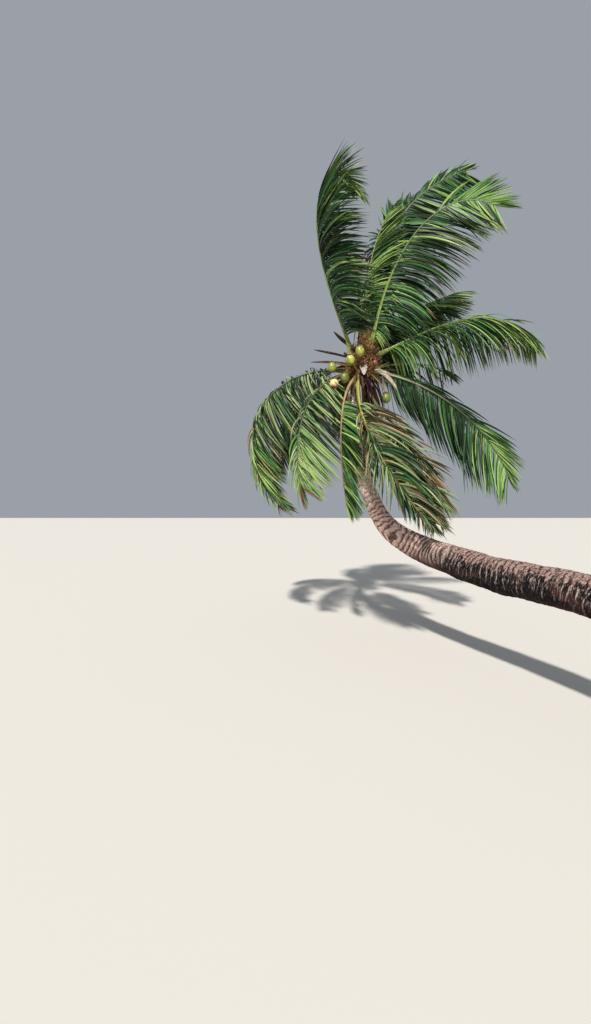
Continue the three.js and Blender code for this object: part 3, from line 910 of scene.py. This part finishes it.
# %% [markdown]
# ## Fronds: the leaflets
#
# A real frond has about a hundred pairs of leaflets, which wind and age split lengthwise. So each rib
# here carries some two hundred pairs of narrow ones. Each is a long blade, folded lengthwise like a
# roof along its midrib, that leaves the rib forwards and outwards and then bends with the wind and
# its own weight. They could be scattered as instances, but the export keeps only real meshes. So one
# blade of a few dozen faces is drawn, and arrays of paths carry its copies, a frond's blades in one
# mesh.
# Colours are dealt out leaflet by leaflet: a pattern would be lost on such small faces.
#
# In a frond's row, bare is the share of the rib below its first leaflet. wind blows its leaflets
# along, and past the middle only lull of it is left. stiff and stiffens say how much of its first
# direction a leaflet keeps towards the tip, and droop how far the tip's leaflets hang. broad widens
# them all. ruffled is the share that is blown up on end, and torn is the hand (0 for both), the
# stretch and the share of leaflets that are torn away.

# %% One straight leaflet
LEAFLET_STATIONS = 9
LEAFLET_WIDTHS = (0.22, 0.62, 0.92, 1.0, 0.94, 0.80, 0.60, 0.36)


def leaflet_pattern():
    """A blade with four corners a ring: its two edges, and its midrib above and below."""
    stations = [(k, width, 1) for k, width in enumerate(LEAFLET_WIDTHS)]
    blade = straight_rod("leaflet", 4, stations + [(LEAFLET_STATIONS - 1, 0.1, 1)])
    return shape_taken(blade)


leaflet_points, leaflet_faces = leaflet_pattern()
leaflet_ring = np.rint(leaflet_points[:, 2]).astype(int)
face_middle = np.array([leaflet_points[face].mean(axis=0) for face in leaflet_faces])
face_is_below = face_middle[:, 1] < 0
face_is_tip = face_middle[:, 2] > LEAFLET_STATIONS - 2.6
print("leaflet", len(leaflet_faces), "faces")

# %% Shades of green
LEAF_SHADES = {
    "leaf_shadow": (0.010, 0.022, 0.008),
    "leaf_deep": (0.020, 0.055, 0.018),
    "leaf_green": (0.042, 0.122, 0.038),
    "leaf_fresh": (0.105, 0.225, 0.058),
    "leaf_bright": (0.250, 0.360, 0.100),
    "leaf_grey": (0.160, 0.225, 0.100),
    "leaf_pale": (0.260, 0.340, 0.135),
    "leaf_straw": (0.260, 0.200, 0.100),
    "leaf_brown": (0.095, 0.048, 0.026),
    "leaf_rust": (0.130, 0.042, 0.030),
}
# A leaflet's underside is its own shade darkened as painted shade.
UNDERSIDE_PAINTED_SHADE = 0.8
SHADE_NAMES = list(LEAF_SHADES)
SHADE = {name: number for number, name in enumerate(SHADE_NAMES)}


def leaf_material(name, colour, brightness, roughness):
    return Finish(name, roughness, 0.2).one_colour([c * brightness for c in colour])


leaf_tops = [leaf_material(name, colour, 1, 0.46) for name, colour in LEAF_SHADES.items()]
leaf_undersides = [leaf_material(name + "_under", colour, UNDERSIDE_PAINTED_SHADE, 0.6)
                   for name, colour in LEAF_SHADES.items()]
print("leaf shades", len(leaf_tops), "above and", len(leaf_undersides), "below")

# %% How leaflets lie
LEAF_TO = 0.97
LEAF_PAIRS_A_METRE = 86
LEAF_OPEN = (68, 40)
LEAF_SHORTEST = 0.25
LEAF_LIMP = 0.15
LEAF_BEND = 0.55
WEIGHT_PULL = 0.8
LULL_OVER = (0.35, 0.65)
RUFFLED_SHORTER = 0.6
SWELL_FROM, SWELL_RUN = 0.2, 0.73
OPEN_WANDER = (22, 5, 3)
DROOP_WANDER = (18, 9, 4)
GUST_WANDER = (16, 0.25, 0.12)


def clumped(rng, count, knots, size):
    """A value a leaflet that wanders slowly along the frond."""
    at = np.linspace(0, 1, count)
    return np.interp(at, np.linspace(0, 1, knots), rng.normal(0, size, knots))


def wander(rng, count, knots, slow, quick):
    """A slow change along the frond, and a quick one from leaflet to leaflet."""
    return clumped(rng, count, knots, slow) + rng.normal(0, quick, count)


# %% Paths of a frond's leaflets
def leaflet_paths(row, rng):
    """For each leaflet of a frond: its line of points, and the unit vectors along and on its face."""
    way = row["way"]
    count = 2 * round(LEAF_PAIRS_A_METRE * way.length)
    k = np.arange(count)
    hand = np.where(k % 2 == 0, 1.0, -1.0)
    v = (k + 0.5) / count
    u = blend(row["bare"], LEAF_TO, v)
    root = way.place(u)
    t, b, n = way.face(u)
    opened = np.radians(blend(*LEAF_OPEN, u) + wander(rng, count, *OPEN_WANDER))
    droop = blend(LEAF_DROOP, row["droop"], u**2)
    droop = np.radians(droop + wander(rng, count, *DROOP_WANDER))
    ruffled = rng.random(count) < row["ruffled"]
    droop = np.where(ruffled, -np.radians(rng.uniform(10, 60, count)), droop)
    out = b * (hand * np.cos(droop))[:, None] - n * np.sin(droop)[:, None]
    start = t * np.cos(opened)[:, None] + out * np.sin(opened)[:, None]
    gust = row["wind"] * blend(1, row["lull"], smoothstep(u, *LULL_OVER))
    gust = gust * (1 + wander(rng, count, *GUST_WANDER))
    pull = unit(WIND * gust[:, None] - UP * WEIGHT_PULL)
    stiff = blend(LEAF_LIMP, row["stiff"], u**row["stiffens"]) * np.exp(rng.normal(0, 0.15, count))
    end = unit(start * stiff[:, None] + pull)
    swell = blend(LEAF_SHORTEST, 1, np.sin(math.pi * (SWELL_FROM + SWELL_RUN * v)))
    length = row["leaf"] * swell * np.exp(rng.normal(0, 0.06, count))
    length = length * np.where(ruffled, RUFFLED_SHORTER, 1)
    steps = LEAFLET_STATIONS - 1
    share = ((np.arange(steps) + 0.5) / steps) ** LEAF_BEND
    along = unit(blend(start[:, None], end[:, None], share[None, :, None]))
    stride = along * (length / steps)[:, None, None]
    path = root[:, None] + np.concatenate([np.zeros((count, 1, 3)), np.cumsum(stride, axis=1)], axis=1)
    heading = np.concatenate([along[:, :1], along], axis=1)
    face = unit(2 * n + t)
    kept = np.ones(count, bool)
    if row["torn"]:
        torn_hand, torn_from, torn_to, torn_share = row["torn"]
        torn = (hand * torn_hand >= 0) & (u > torn_from) & (u < torn_to)
        kept = ~(torn & (rng.random(count) < torn_share))
    return path[kept], heading[kept], face[kept], length[kept], u[kept]


longest = max(row["way"].length for row in FRONDS.values())
print("leaflets on the longest frond", 2 * round(LEAF_PAIRS_A_METRE * longest))

# %% Blades along the paths
LEAFLET_WIDE = 0.027
LEAFLET_THICK = 0.0016
FOLD = (0.75, 0.30)
TWIST = 0.45
TWIST_TO_TIP = 0.85

def rolled(along, across, above, angle):
    """Across and above turned about along."""
    cos, sin = np.cos(angle)[..., None], np.sin(angle)[..., None]
    return across * cos + above * sin, above * cos - across * sin


def frond_blades(row, rng):
    """The points of all leaflets of a frond, one row a leaflet."""
    path, heading, face, length, u = leaflet_paths(row, rng)
    count = len(path)
    across = unit(np.cross(face[:, None], heading))
    above = np.cross(heading, across)
    share = np.linspace(0, 1, LEAFLET_STATIONS)[None]
    twist = rng.normal(0, TWIST, count)[:, None] + rng.normal(0, TWIST_TO_TIP, count)[:, None] * share
    across, above = rolled(heading, across, above, twist)
    wide = LEAFLET_WIDE / 2 * row["broad"] * np.sqrt(length / row["leaf"]) * rng.uniform(0.7, 1.1, count)
    fold = blend(*FOLD, leaflet_ring / (LEAFLET_STATIONS - 1))
    x = leaflet_points[:, 0] * wide[:, None]
    y = leaflet_points[:, 1] * LEAFLET_THICK / 2 - np.abs(x) * fold
    places = path[:, leaflet_ring] + across[:, leaflet_ring] * x[..., None]
    return places + above[:, leaflet_ring] * y[..., None], u


# %% Which shade each leaflet gets
FRESH = [SHADE[name] for name in ("leaf_shadow", "leaf_deep", "leaf_green", "leaf_fresh", "leaf_bright")]
OLDER = [SHADE[name] for name in ("leaf_shadow", "leaf_deep", "leaf_green", "leaf_grey", "leaf_pale")]
DRIED = (SHADE["leaf_straw"], SHADE["leaf_brown"])
FRESH_CONTRAST = 1.7
OLDER_CONTRAST = 2.5
DRY_TIP_CHANCE = 0.07
RUST_FROM = 0.955


def shade_numbers(row, u, rng):
    """A number into the shades for each leaflet, from the frond's row.

    tone is the middle shade, set low as painted shade on fronds that lie dark in the crown, and yellows
    brightens the frond's tip. An older frond has greyer greens and some browned leaflets, and a rusty
    one ends in rust.
    """
    older, count = row["older"], len(u)
    near_tip = np.clip((u - 0.5) / 0.4, 0, 1)
    contrast = OLDER_CONTRAST if older else FRESH_CONTRAST
    tone = (row["tone"] + rng.normal(0, contrast, count) + clumped(rng, count, 26, 0.5)
            + row["yellows"] * near_tip)
    shade = np.array(OLDER if older else FRESH)[np.clip(np.rint(tone), 0, 4).astype(int)]
    if older:
        dried = rng.random(count) < row["browned"]
        shade = np.where(dried, rng.choice(DRIED, count), shade)
    if row["rusty"]:
        green = (u > 0.60) & (rng.random(count) < 0.5)
        shade = np.where(green, rng.choice(FRESH[3:], count), shade)
        shade = np.where(u > RUST_FROM, SHADE["leaf_rust"], shade)
    return shade


def frond_leaflets(name, row, seed):
    rng = np.random.default_rng(seed)
    blades, u = frond_blades(row, rng)
    shade = shade_numbers(row, u, rng)
    dry_tip = rng.random(len(u)) < DRY_TIP_CHANCE
    shapes, picks = [], []
    for k, points in enumerate(blades):
        shapes.append((points, leaflet_faces))
        pick = np.full(len(leaflet_faces), shade[k])
        if dry_tip[k]:
            pick[face_is_tip] = SHADE["leaf_straw"]
        picks.append(pick + len(SHADE_NAMES) * face_is_below)
    piece = joined(name + "_leaflets", shapes, leaf_tops + leaf_undersides, picks)
    smooth(piece, 50)
    settle(piece, "frond", *solids_of(name, row))
    return len(piece.data.polygons)


faces = sum(frond_leaflets(name, row, 100 + k) for k, (name, row) in enumerate(FRONDS.items()))
print("leaflets", faces // len(leaflet_faces), "with", faces, "faces")

# %% [markdown]
# ## Spear leaf
#
# The newest frond is still folded shut: a pale pointed spear that stands in the middle of the crown.
# A plain cone would do from afar. A rod that is rippled all round shows how the leaf is packed.

# %% Spear leaf
SPEAR_SHAPE = [(0, 0.017), (0.1, 0.025), (0.45, 0.027), (0.8, 0.015), (1, 0.002)]
SPEAR_GREENS = (0.12, 0.20, 0.04), (0.34, 0.42, 0.11)
SPEAR_RINGS = 24
SPEAR_FOLDS = 7
SPEAR_FOLD_DEEP = 0.12


def spear_material():
    coat = Finish("spear_green", 0.45)
    folds = coat.grain(160.0, 2, 0.02)
    colour = coat.ramp(folds, 0.35, 0.65, *SPEAR_GREENS)
    return coat.coated(colour, folds, 0.6, 0.006)


def spear_leaf():
    u = np.linspace(0, 1, SPEAR_RINGS + 1)
    radius = read_off(SPEAR_SHAPE, u)
    piece = straight_rod("spear_leaf_folded", 14, list(zip(u, radius, radius)), pointed=False)
    refine(piece, 1)
    points = points_of(piece)
    ripple = np.cos(turn_of(points) * 2 * math.pi * SPEAR_FOLDS)
    points[:, :2] *= (1 + SPEAR_FOLD_DEEP * ripple)[:, None]
    move_points(piece, laid_along(points, Way((190, 80), (120, 86), 1.25, crown_point(190, 0, 0.60))))
    write_straight(piece, points)
    smooth(piece, 50)
    piece.data.materials.append(spear_material())
    settle(piece, "spear", "spear_leaf")
    return piece


print("spear leaf", len(spear_leaf().data.polygons), "faces")

# %% [markdown]
# ## Dry flower sheaths
#
# Each bunch of flowers bursts out of a woody sheath shaped like a canoe, which then dries and hangs on
# for months. A flattened rod has the outline but not the hollow. A grid, curled into a half shell and
# given its wall by a Solidify modifier, has both.

# %% Dry finishes
DRY_COLOURS = {
    "brown": ((0.026, 0.014, 0.010), (0.13, 0.072, 0.045)),
    "grey": ((0.20, 0.18, 0.165), (0.50, 0.47, 0.43)),
    "pale": ((0.17, 0.13, 0.10), (0.44, 0.37, 0.31)),
    # The maroon colour is dead leaf base darkened as painted shade, for the strips under the crown.
    "shaded_maroon": ((0.006, 0.003, 0.003), (0.036, 0.014, 0.013)),
}
WORN_DARKER = 0.55


def dry_material(name, dark, light):
    coat = Finish(name, 0.9, 0.12)
    ribs = coat.grain(220.0, 3, 0.05)
    colour = coat.ramp(ribs, 0.36, 0.64, dark, light)
    worn = [c * WORN_DARKER for c in light]
    colour = coat.ramp(coat.patches(14.0, 3), 0.52, 0.72, colour, worn)
    return coat.coated(colour, ribs, 0.7, 0.006)


dry_finish = {name: dry_material("sheath_" + name, *pair) for name, pair in DRY_COLOURS.items()}
print("dry finishes", len(dry_finish))

# %% Sheaths
SHEATH_WALL = 0.006
SHEATH_CURL = 105
SHEATH_DEEP = 0.55
SHEATH_SHAPE = [(0, 0.4), (0.15, 0.5), (0.4, 0.9), (0.7, 1), (0.9, 0.6), (1, 0.03)]
SHEATHS = {
    "spathe_hooked": (0.43, (188, 18), (184, 48), 0.46, 0.060, "brown"),
    "spathe_long": (0.315, (198, 12), (192, 2), 0.64, 0.062, "brown"),
    "spathe_thin": (0.250, (201, 4), (188, -6), 0.66, 0.034, "brown"),
    "spathe_grey": (0.262, (-92, 5), (-95, -84), 0.36, 0.085, "grey"),
    "spathe_pale": (0.235, (-28, -10), (-35, -66), 0.60, 0.050, "pale", (180, 0)),
    "spathe_back": (0.255, (158, 20), (160, -40), 0.52, 0.062, "brown"),
}


def sheath_piece(name, level, foot, tip, length, wide, finish, side=None):
    """A shell from its level on the heart, with the directions of its foot and tip."""
    select_only()
    bpy.ops.mesh.primitive_grid_add(x_subdivisions=14, y_subdivisions=24, size=1)
    piece = bpy.context.object
    piece.name = name + "_shell"
    points = points_of(piece)
    share = points[:, 1] + 0.5
    curl = points[:, 0] * 2 * math.radians(SHEATH_CURL)
    half = wide / 2 * read_off(SHEATH_SHAPE, share)
    shell = np.column_stack([np.sin(curl) * half, -np.cos(curl) * half * SHEATH_DEEP, share])
    way = Way(foot, tip, length, crown_point(foot[0], 0, level), side=side)
    move_points(piece, laid_along(shell, way))
    write_straight(piece, shell)
    add_modifier(piece, "SOLIDIFY", thickness=SHEATH_WALL, offset=0)
    smooth(piece, 50)
    piece.data.materials.append(dry_finish[finish])
    settle(piece, "spathe", name)


for name, values in SHEATHS.items():
    sheath_piece(name, *values)
print("sheaths", len(SHEATHS))

# %% [markdown]
# ## Coconuts
#
# A coconut on the palm is an egg with three blunt ridges, held by a cap of bracts on a woody stalk. A
# sphere is the start: its sides are swelled into ridges and its foot is made the broader end. The
# bunch's other twigs have lost their fruit and end bare.

# %% One coconut and its cap
NUT_LONG = 0.140
NUT_WIDE = 0.112
NUT_RIDGE = 0.05
NUT_TAPER = 0.10
RIDGE_ROOM = 0.96
CAP_SHAPE = [(0.0, 0.010), (-0.006, 0.024), (-0.014, 0.036), (-0.022, 0.043)]
CAP_LOBE = 0.14


def nut_pattern():
    select_only()
    bpy.ops.mesh.primitive_uv_sphere_add(segments=24, ring_count=16, radius=1)
    points, faces = shape_taken(bpy.context.object)
    around = np.arctan2(points[:, 1], points[:, 0])
    ridge = 1 + NUT_RIDGE * np.cos(3 * around) * (1 - points[:, 2] ** 2)
    egg = 1 - NUT_TAPER * points[:, 2]
    points[:, :2] *= (ridge * egg)[:, None] * NUT_WIDE / 2 * RIDGE_ROOM
    points[:, 2] *= NUT_LONG / 2
    return points, faces


def cap_pattern():
    """Bracts that clasp the top of a nut: a shallow bell with a lobed rim."""
    stations = [(z, r, r) for z, r in CAP_SHAPE]
    points, faces = shape_taken(straight_rod("cap", 18, stations, pointed=False))
    around = np.arctan2(points[:, 1], points[:, 0])
    rim = points[:, 2] < -0.01
    points[:, :2] *= np.where(rim, 1 + CAP_LOBE * np.cos(3 * around), 1)[:, None]
    return points, faces


nut_points, nut_faces = nut_pattern()
cap_points, cap_faces = cap_pattern()
print("nut", len(nut_faces), "faces, cap", len(cap_faces), "faces")

# %% Finishes of nuts and stalks
HUSK_GREENS = (0.17, 0.22, 0.035), (0.42, 0.42, 0.085)
# The darker green is partly unripe husk and partly painted shade.
UNRIPE_AND_SHADED_GREEN = (0.10, 0.14, 0.028)
RIPENING_CREAM = (0.66, 0.52, 0.20)
RIPE_BROWN = (0.20, 0.065, 0.032)


def nut_material():
    coat = Finish("husk", 0.38)
    mottle = coat.patches(18.0, 4)
    skin = coat.ramp(mottle, 0.35, 0.65, *HUSK_GREENS)
    skin = coat.mixed(coat.kept("green"), skin, UNRIPE_AND_SHADED_GREEN)
    skin = coat.mixed(coat.kept("cream"), skin, RIPENING_CREAM)
    edge = coat.plus(coat.kept("ripe"), coat.times(mottle, 0.3))
    colour = coat.ramp(edge, 0.72, 0.95, skin, RIPE_BROWN)
    return coat.coated(colour, mottle, 0.15, 0.004)


husk = nut_material()
stalk_dry = dry_material("stalk", (0.10, 0.050, 0.022), (0.34, 0.22, 0.08))
button_brown = dry_material("button", (0.06, 0.026, 0.018), (0.18, 0.095, 0.065))
print("fruit finishes", husk.name, stalk_dry.name, button_brown.name)


# %% Stalks
class Arc:
    """A stalk's way: a quadratic curve through a start, a bend and an end."""

    def __init__(self, start, bend, end):
        self.start, self.bend, self.end = start, bend, end

    def place(self, u):
        u = np.asarray(u)[:, None]
        return (1 - u) ** 2 * self.start + 2 * u * (1 - u) * self.bend + u * u * self.end

    def face(self, u):
        u = np.asarray(u)[:, None]
        slope = (1 - u) * (self.bend - self.start) + u * (self.end - self.bend)
        return facing(unit(slope), UP + 0.001 * WIND)


stalk_shape, stalk_faces = shape_taken(straight_rod(
    "stalk", 8, [(u, 1.15 - 0.6 * u, 1.15 - 0.6 * u) for u in np.linspace(0, 1, 15)], pointed=False))


def stalk_along(way, radius):
    return laid_along(stalk_shape * (radius, radius, 1), way), stalk_faces


print("stalk", len(stalk_faces), "faces")

# %% Bunches
BUNCHES = {
    "coconuts_windward": (0.190, 232, [(255, 0.300, 0.330), (239, 0.330, 0.215), (211, 0.430, 0.150),
                                       (233, 0.330, 0.005), (222, 0.420, -0.080)]),
    "coconuts_lee": (0.150, -52, [(-61, 0.285, 0.165), (-31, 0.400, -0.230)]),
    "coconuts_back": (0.210, 122, [(112, 0.330, 0.110), (124, 0.350, -0.020), (114, 0.440, -0.100),
                                   (131, 0.430, 0.050)]),
}
# Some nuts are mixed towards the darker green, partly as unripe fruit and partly as painted shade.
GREENER_AND_SHADED_NUTS = {("coconuts_windward", 2): 0.5, ("coconuts_windward", 3): 0.9, ("coconuts_back", 1): 0.6,
                ("coconuts_back", 3): 0.4, ("coconuts_lee", 1): 0.8}
BUTTON = ("coconuts_lee", 0)
RIPENING = ("coconuts_windward", 4)
BUTTON_SIZE = 0.55
NUT_SEAT = 0.012
STALK_RADIUS = 0.012
BARE_TWIGS = 16


def bunch(name, level, bearing, nuts, seed):
    """One bunch, from its level and bearing on the heart, with a place for each nut."""
    rng = np.random.default_rng(seed)
    start, fork = crown_point(bearing, 0.06, level), crown_point(bearing, 0.21, level - 0.010)
    nut_shapes, stalk_shapes, cap_shapes = [], [], []
    skins = {"ripe": [], "green": [], "cream": []}
    for k, nut_place in enumerate(nuts):
        is_button, is_ripening = (name, k) == BUTTON, (name, k) == RIPENING
        centre = crown_point(*nut_place)
        top = centre + UP * (NUT_LONG / 2 - NUT_SEAT)
        stalk_shapes.append(stalk_along(Arc(start, fork, top), STALK_RADIUS))
        usual_size = rng.uniform(0.94, 1.0)
        size = BUTTON_SIZE if is_button else usual_size
        nut_shapes.append((nut_points * size + centre + UP * (1 - size) * NUT_LONG / 2, nut_faces))
        cap_shapes.append((cap_points * size + centre + UP * (NUT_LONG / 2 + 0.004), cap_faces))
        below = -nut_points[:, 2] / NUT_LONG + 0.5
        skins["ripe"].append(below * 0 + 0.95 if is_button else below * (1.0 if is_ripening else 0.45))
        skins["green"].append(below * 0 + GREENER_AND_SHADED_NUTS.get((name, k), 0.0))
        skins["cream"].append(below * 0 + is_ripening)
    for _ in range(BARE_TWIGS):
        way_out = bearing + rng.uniform(-38, 38)
        tip = crown_point(way_out, rng.uniform(0.26, 0.46), level + rng.uniform(-0.28, 0.06))
        stalk_shapes.append(stalk_along(Arc(start, fork, tip), rng.uniform(0.003, 0.005)))
    fruit = joined(name + "_nuts", nut_shapes, [husk])
    for value_name, values in skins.items():
        write_values(fruit, value_name, np.concatenate(values))
    twigs = joined(name + "_stalks", stalk_shapes, [stalk_dry])
    caps = joined(name + "_caps", cap_shapes, [button_brown])
    for piece in (fruit, twigs, caps):
        smooth(piece, 60)
        settle(piece, "coconut", name)


for k, (name, (level, bearing, nuts)) in enumerate(BUNCHES.items()):
    bunch(name, level, bearing, nuts, 300 + k)
print("bunches", len(BUNCHES))

# %% [markdown]
# ## Dry strips and loose fibres
#
# Under the crown hang old stalks and torn strips of dry leaf base, and a brown net of fibres frays out
# between the fronds. Both are many small things, so one strip and one fibre are drawn, and seeded
# arrays lay their copies round the heart, each kind in one mesh.

# %% Hanging strips
STRIP_COUNT = 90
STRIP_THICK = 0.0016
STRIP_WIDTHS = (0.9, 1, 1, 0.95, 0.9, 0.85, 0.8, 0.7, 0.6, 0.45, 0.3, 0.12)
# Most strips are near black: dead leaf base darkened as painted shade under the crown.
STRIP_SHARES = {"shaded_maroon": 0.86, "brown": 0.08, "pale": 0.04, "grey": 0.02}

strip_marks = np.linspace(0, 1, len(STRIP_WIDTHS))
strip_shape, strip_faces = shape_taken(straight_rod(
    "strip", 4, [(u, width, 1) for u, width in zip(strip_marks, STRIP_WIDTHS)]))


def hanging_strips():
    """Half of the strips hang all round, and half on the side towards the eye and the lee."""
    rng = np.random.default_rng(41)
    shapes, picks = [], []
    for _ in range(STRIP_COUNT):
        bearing = rng.uniform(0, 360) if rng.random() < 0.5 else rng.uniform(-100, 10)
        level = rng.uniform(-0.02, 0.16)
        length = rng.uniform(0.25, 0.70)
        start = crown_point(bearing, heart_radius(level) * 0.9, level)
        hangs = bearing + rng.uniform(-25, 25)
        foot, tip = (bearing, rng.uniform(-60, -20)), (hangs, rng.uniform(-89, -82))
        points = strip_shape * (rng.uniform(0.006, 0.017), STRIP_THICK, 1)
        points[:, 1] += np.abs(points[:, 0]) * rng.uniform(-0.8, 0.8)
        turn = rng.normal(0, 1.2) * points[:, 2] + rng.uniform(-0.4, 0.4)
        x, y = points[:, 0].copy(), points[:, 1].copy()
        points[:, 0] = x * np.cos(turn) - y * np.sin(turn)
        points[:, 1] = x * np.sin(turn) + y * np.cos(turn)
        way = Way(foot, tip, length, start, middle=(hangs, -86))
        shapes.append((laid_along(points, way), strip_faces))
        pick = rng.choice(len(STRIP_SHARES), p=list(STRIP_SHARES.values()))
        picks.append(np.full(len(strip_faces), pick))
    return joined("dry_strips", shapes, [dry_finish[name] for name in STRIP_SHARES], picks)


strips = hanging_strips()
smooth(strips, 50)
settle(strips, "heart", "crown_heart")
print("strips", STRIP_COUNT)

# %% Stubs of old fronds
STUB_COUNT = 22
STUB_SHAPE = [(0, 1.5, 0.75), (0.3, 1.1, 0.6), (0.7, 0.9, 0.5), (0.97, 0.8, 0.42), (1, 0.7, 0.34)]
LEAF_TURN = 137.5

stub_shape, stub_faces = shape_taken(straight_rod("stub", 10, STUB_SHAPE, pointed=False))


def old_stubs():
    """Each stub stands one leaf's turn on from the last and a little higher, as fronds grow."""
    rng = np.random.default_rng(43)
    shapes, straights = [], []
    for k in range(STUB_COUNT):
        bearing = LEAF_TURN * k + rng.uniform(-12, 12)
        level = 0.02 + 0.42 * k / STUB_COUNT
        length = rng.uniform(0.09, 0.20)
        rise = rng.uniform(-10, 35)
        start = crown_point(bearing, heart_radius(level) * 0.75, level)
        tip = (bearing + rng.uniform(-25, 25), rise + rng.uniform(5, 35))
        points = stub_shape * (rng.uniform(0.022, 0.034), 0.030, 1)
        points[:, 2] -= (np.abs(points[:, 0]) * 4 * rng.uniform(0, 1)) * (points[:, 2] > 0.95)
        shapes.append((laid_along(points, Way((bearing, rise), tip, length, start)), stub_faces))
        straights.append(points * (1, 1, length) + (0, 0, k))
    stubs = joined("frond_stubs", shapes, [dry_finish["brown"]])
    write_straight(stubs, np.vstack(straights))
    return stubs


stubs = old_stubs()
smooth(stubs, 50)
settle(stubs, "heart", "crown_heart")
print("stubs", STUB_COUNT)

# %% Fibre net
FIBRE_COUNT = 1100
FIBRE_STEPS = 10
FIBRE_SHADES = [(0.34, 0.155, 0.045), (0.12, 0.05, 0.022), (0.46, 0.29, 0.13)]

fibre_shape, fibre_faces = shape_taken(straight_rod(
    "fibre", 3, [(k, 1, 1) for k in range(FIBRE_STEPS + 1)], pointed=False))
fibre_ring = np.rint(fibre_shape[:, 2]).astype(int)


def fibre_line(rng):
    """The points of one fibre, which runs slantwise round the heart and lifts off towards its end."""
    share = np.linspace(0, 1, FIBRE_STEPS + 1)
    bearing = rng.uniform(0, 360) + rng.choice((-1, 1)) * rng.uniform(20, 75) * share
    level = rng.uniform(-0.02, 0.60) + rng.uniform(-0.10, 0.24) * share
    lift = 0.004 + rng.uniform(0, 0.02) + rng.exponential(0.03) * share**2
    out = np.maximum(heart_radius(np.clip(level, 0, 0.62)), 0.05) + lift
    line = np.array([crown_point(*at) for at in zip(bearing, out, level)])
    line[1:-1] += rng.normal(0, 0.003, (FIBRE_STEPS - 1, 3))
    return line


def fibre_net():
    rng = np.random.default_rng(42)
    shapes, picks = [], []
    for _ in range(FIBRE_COUNT):
        line = fibre_line(rng)
        _, across, above = facing(unit(np.gradient(line, axis=0)), CROWN_AXIS + 0.01 * WIND)
        x, y = (fibre_shape[:, :2] * rng.uniform(0.0010, 0.0032)).T[..., None]
        shapes.append((line[fibre_ring] + across[fibre_ring] * x + above[fibre_ring] * y, fibre_faces))
        picks.append(np.full(len(fibre_faces), rng.integers(len(FIBRE_SHADES))))
    finishes = [Finish(f"fibre_{k}", 0.9, 0.2).one_colour(shade) for k, shade in enumerate(FIBRE_SHADES)]
    return joined("fibre_net", shapes, finishes, picks)


settle(fibre_net(), "heart", "crown_heart")
print("fibres", FIBRE_COUNT)
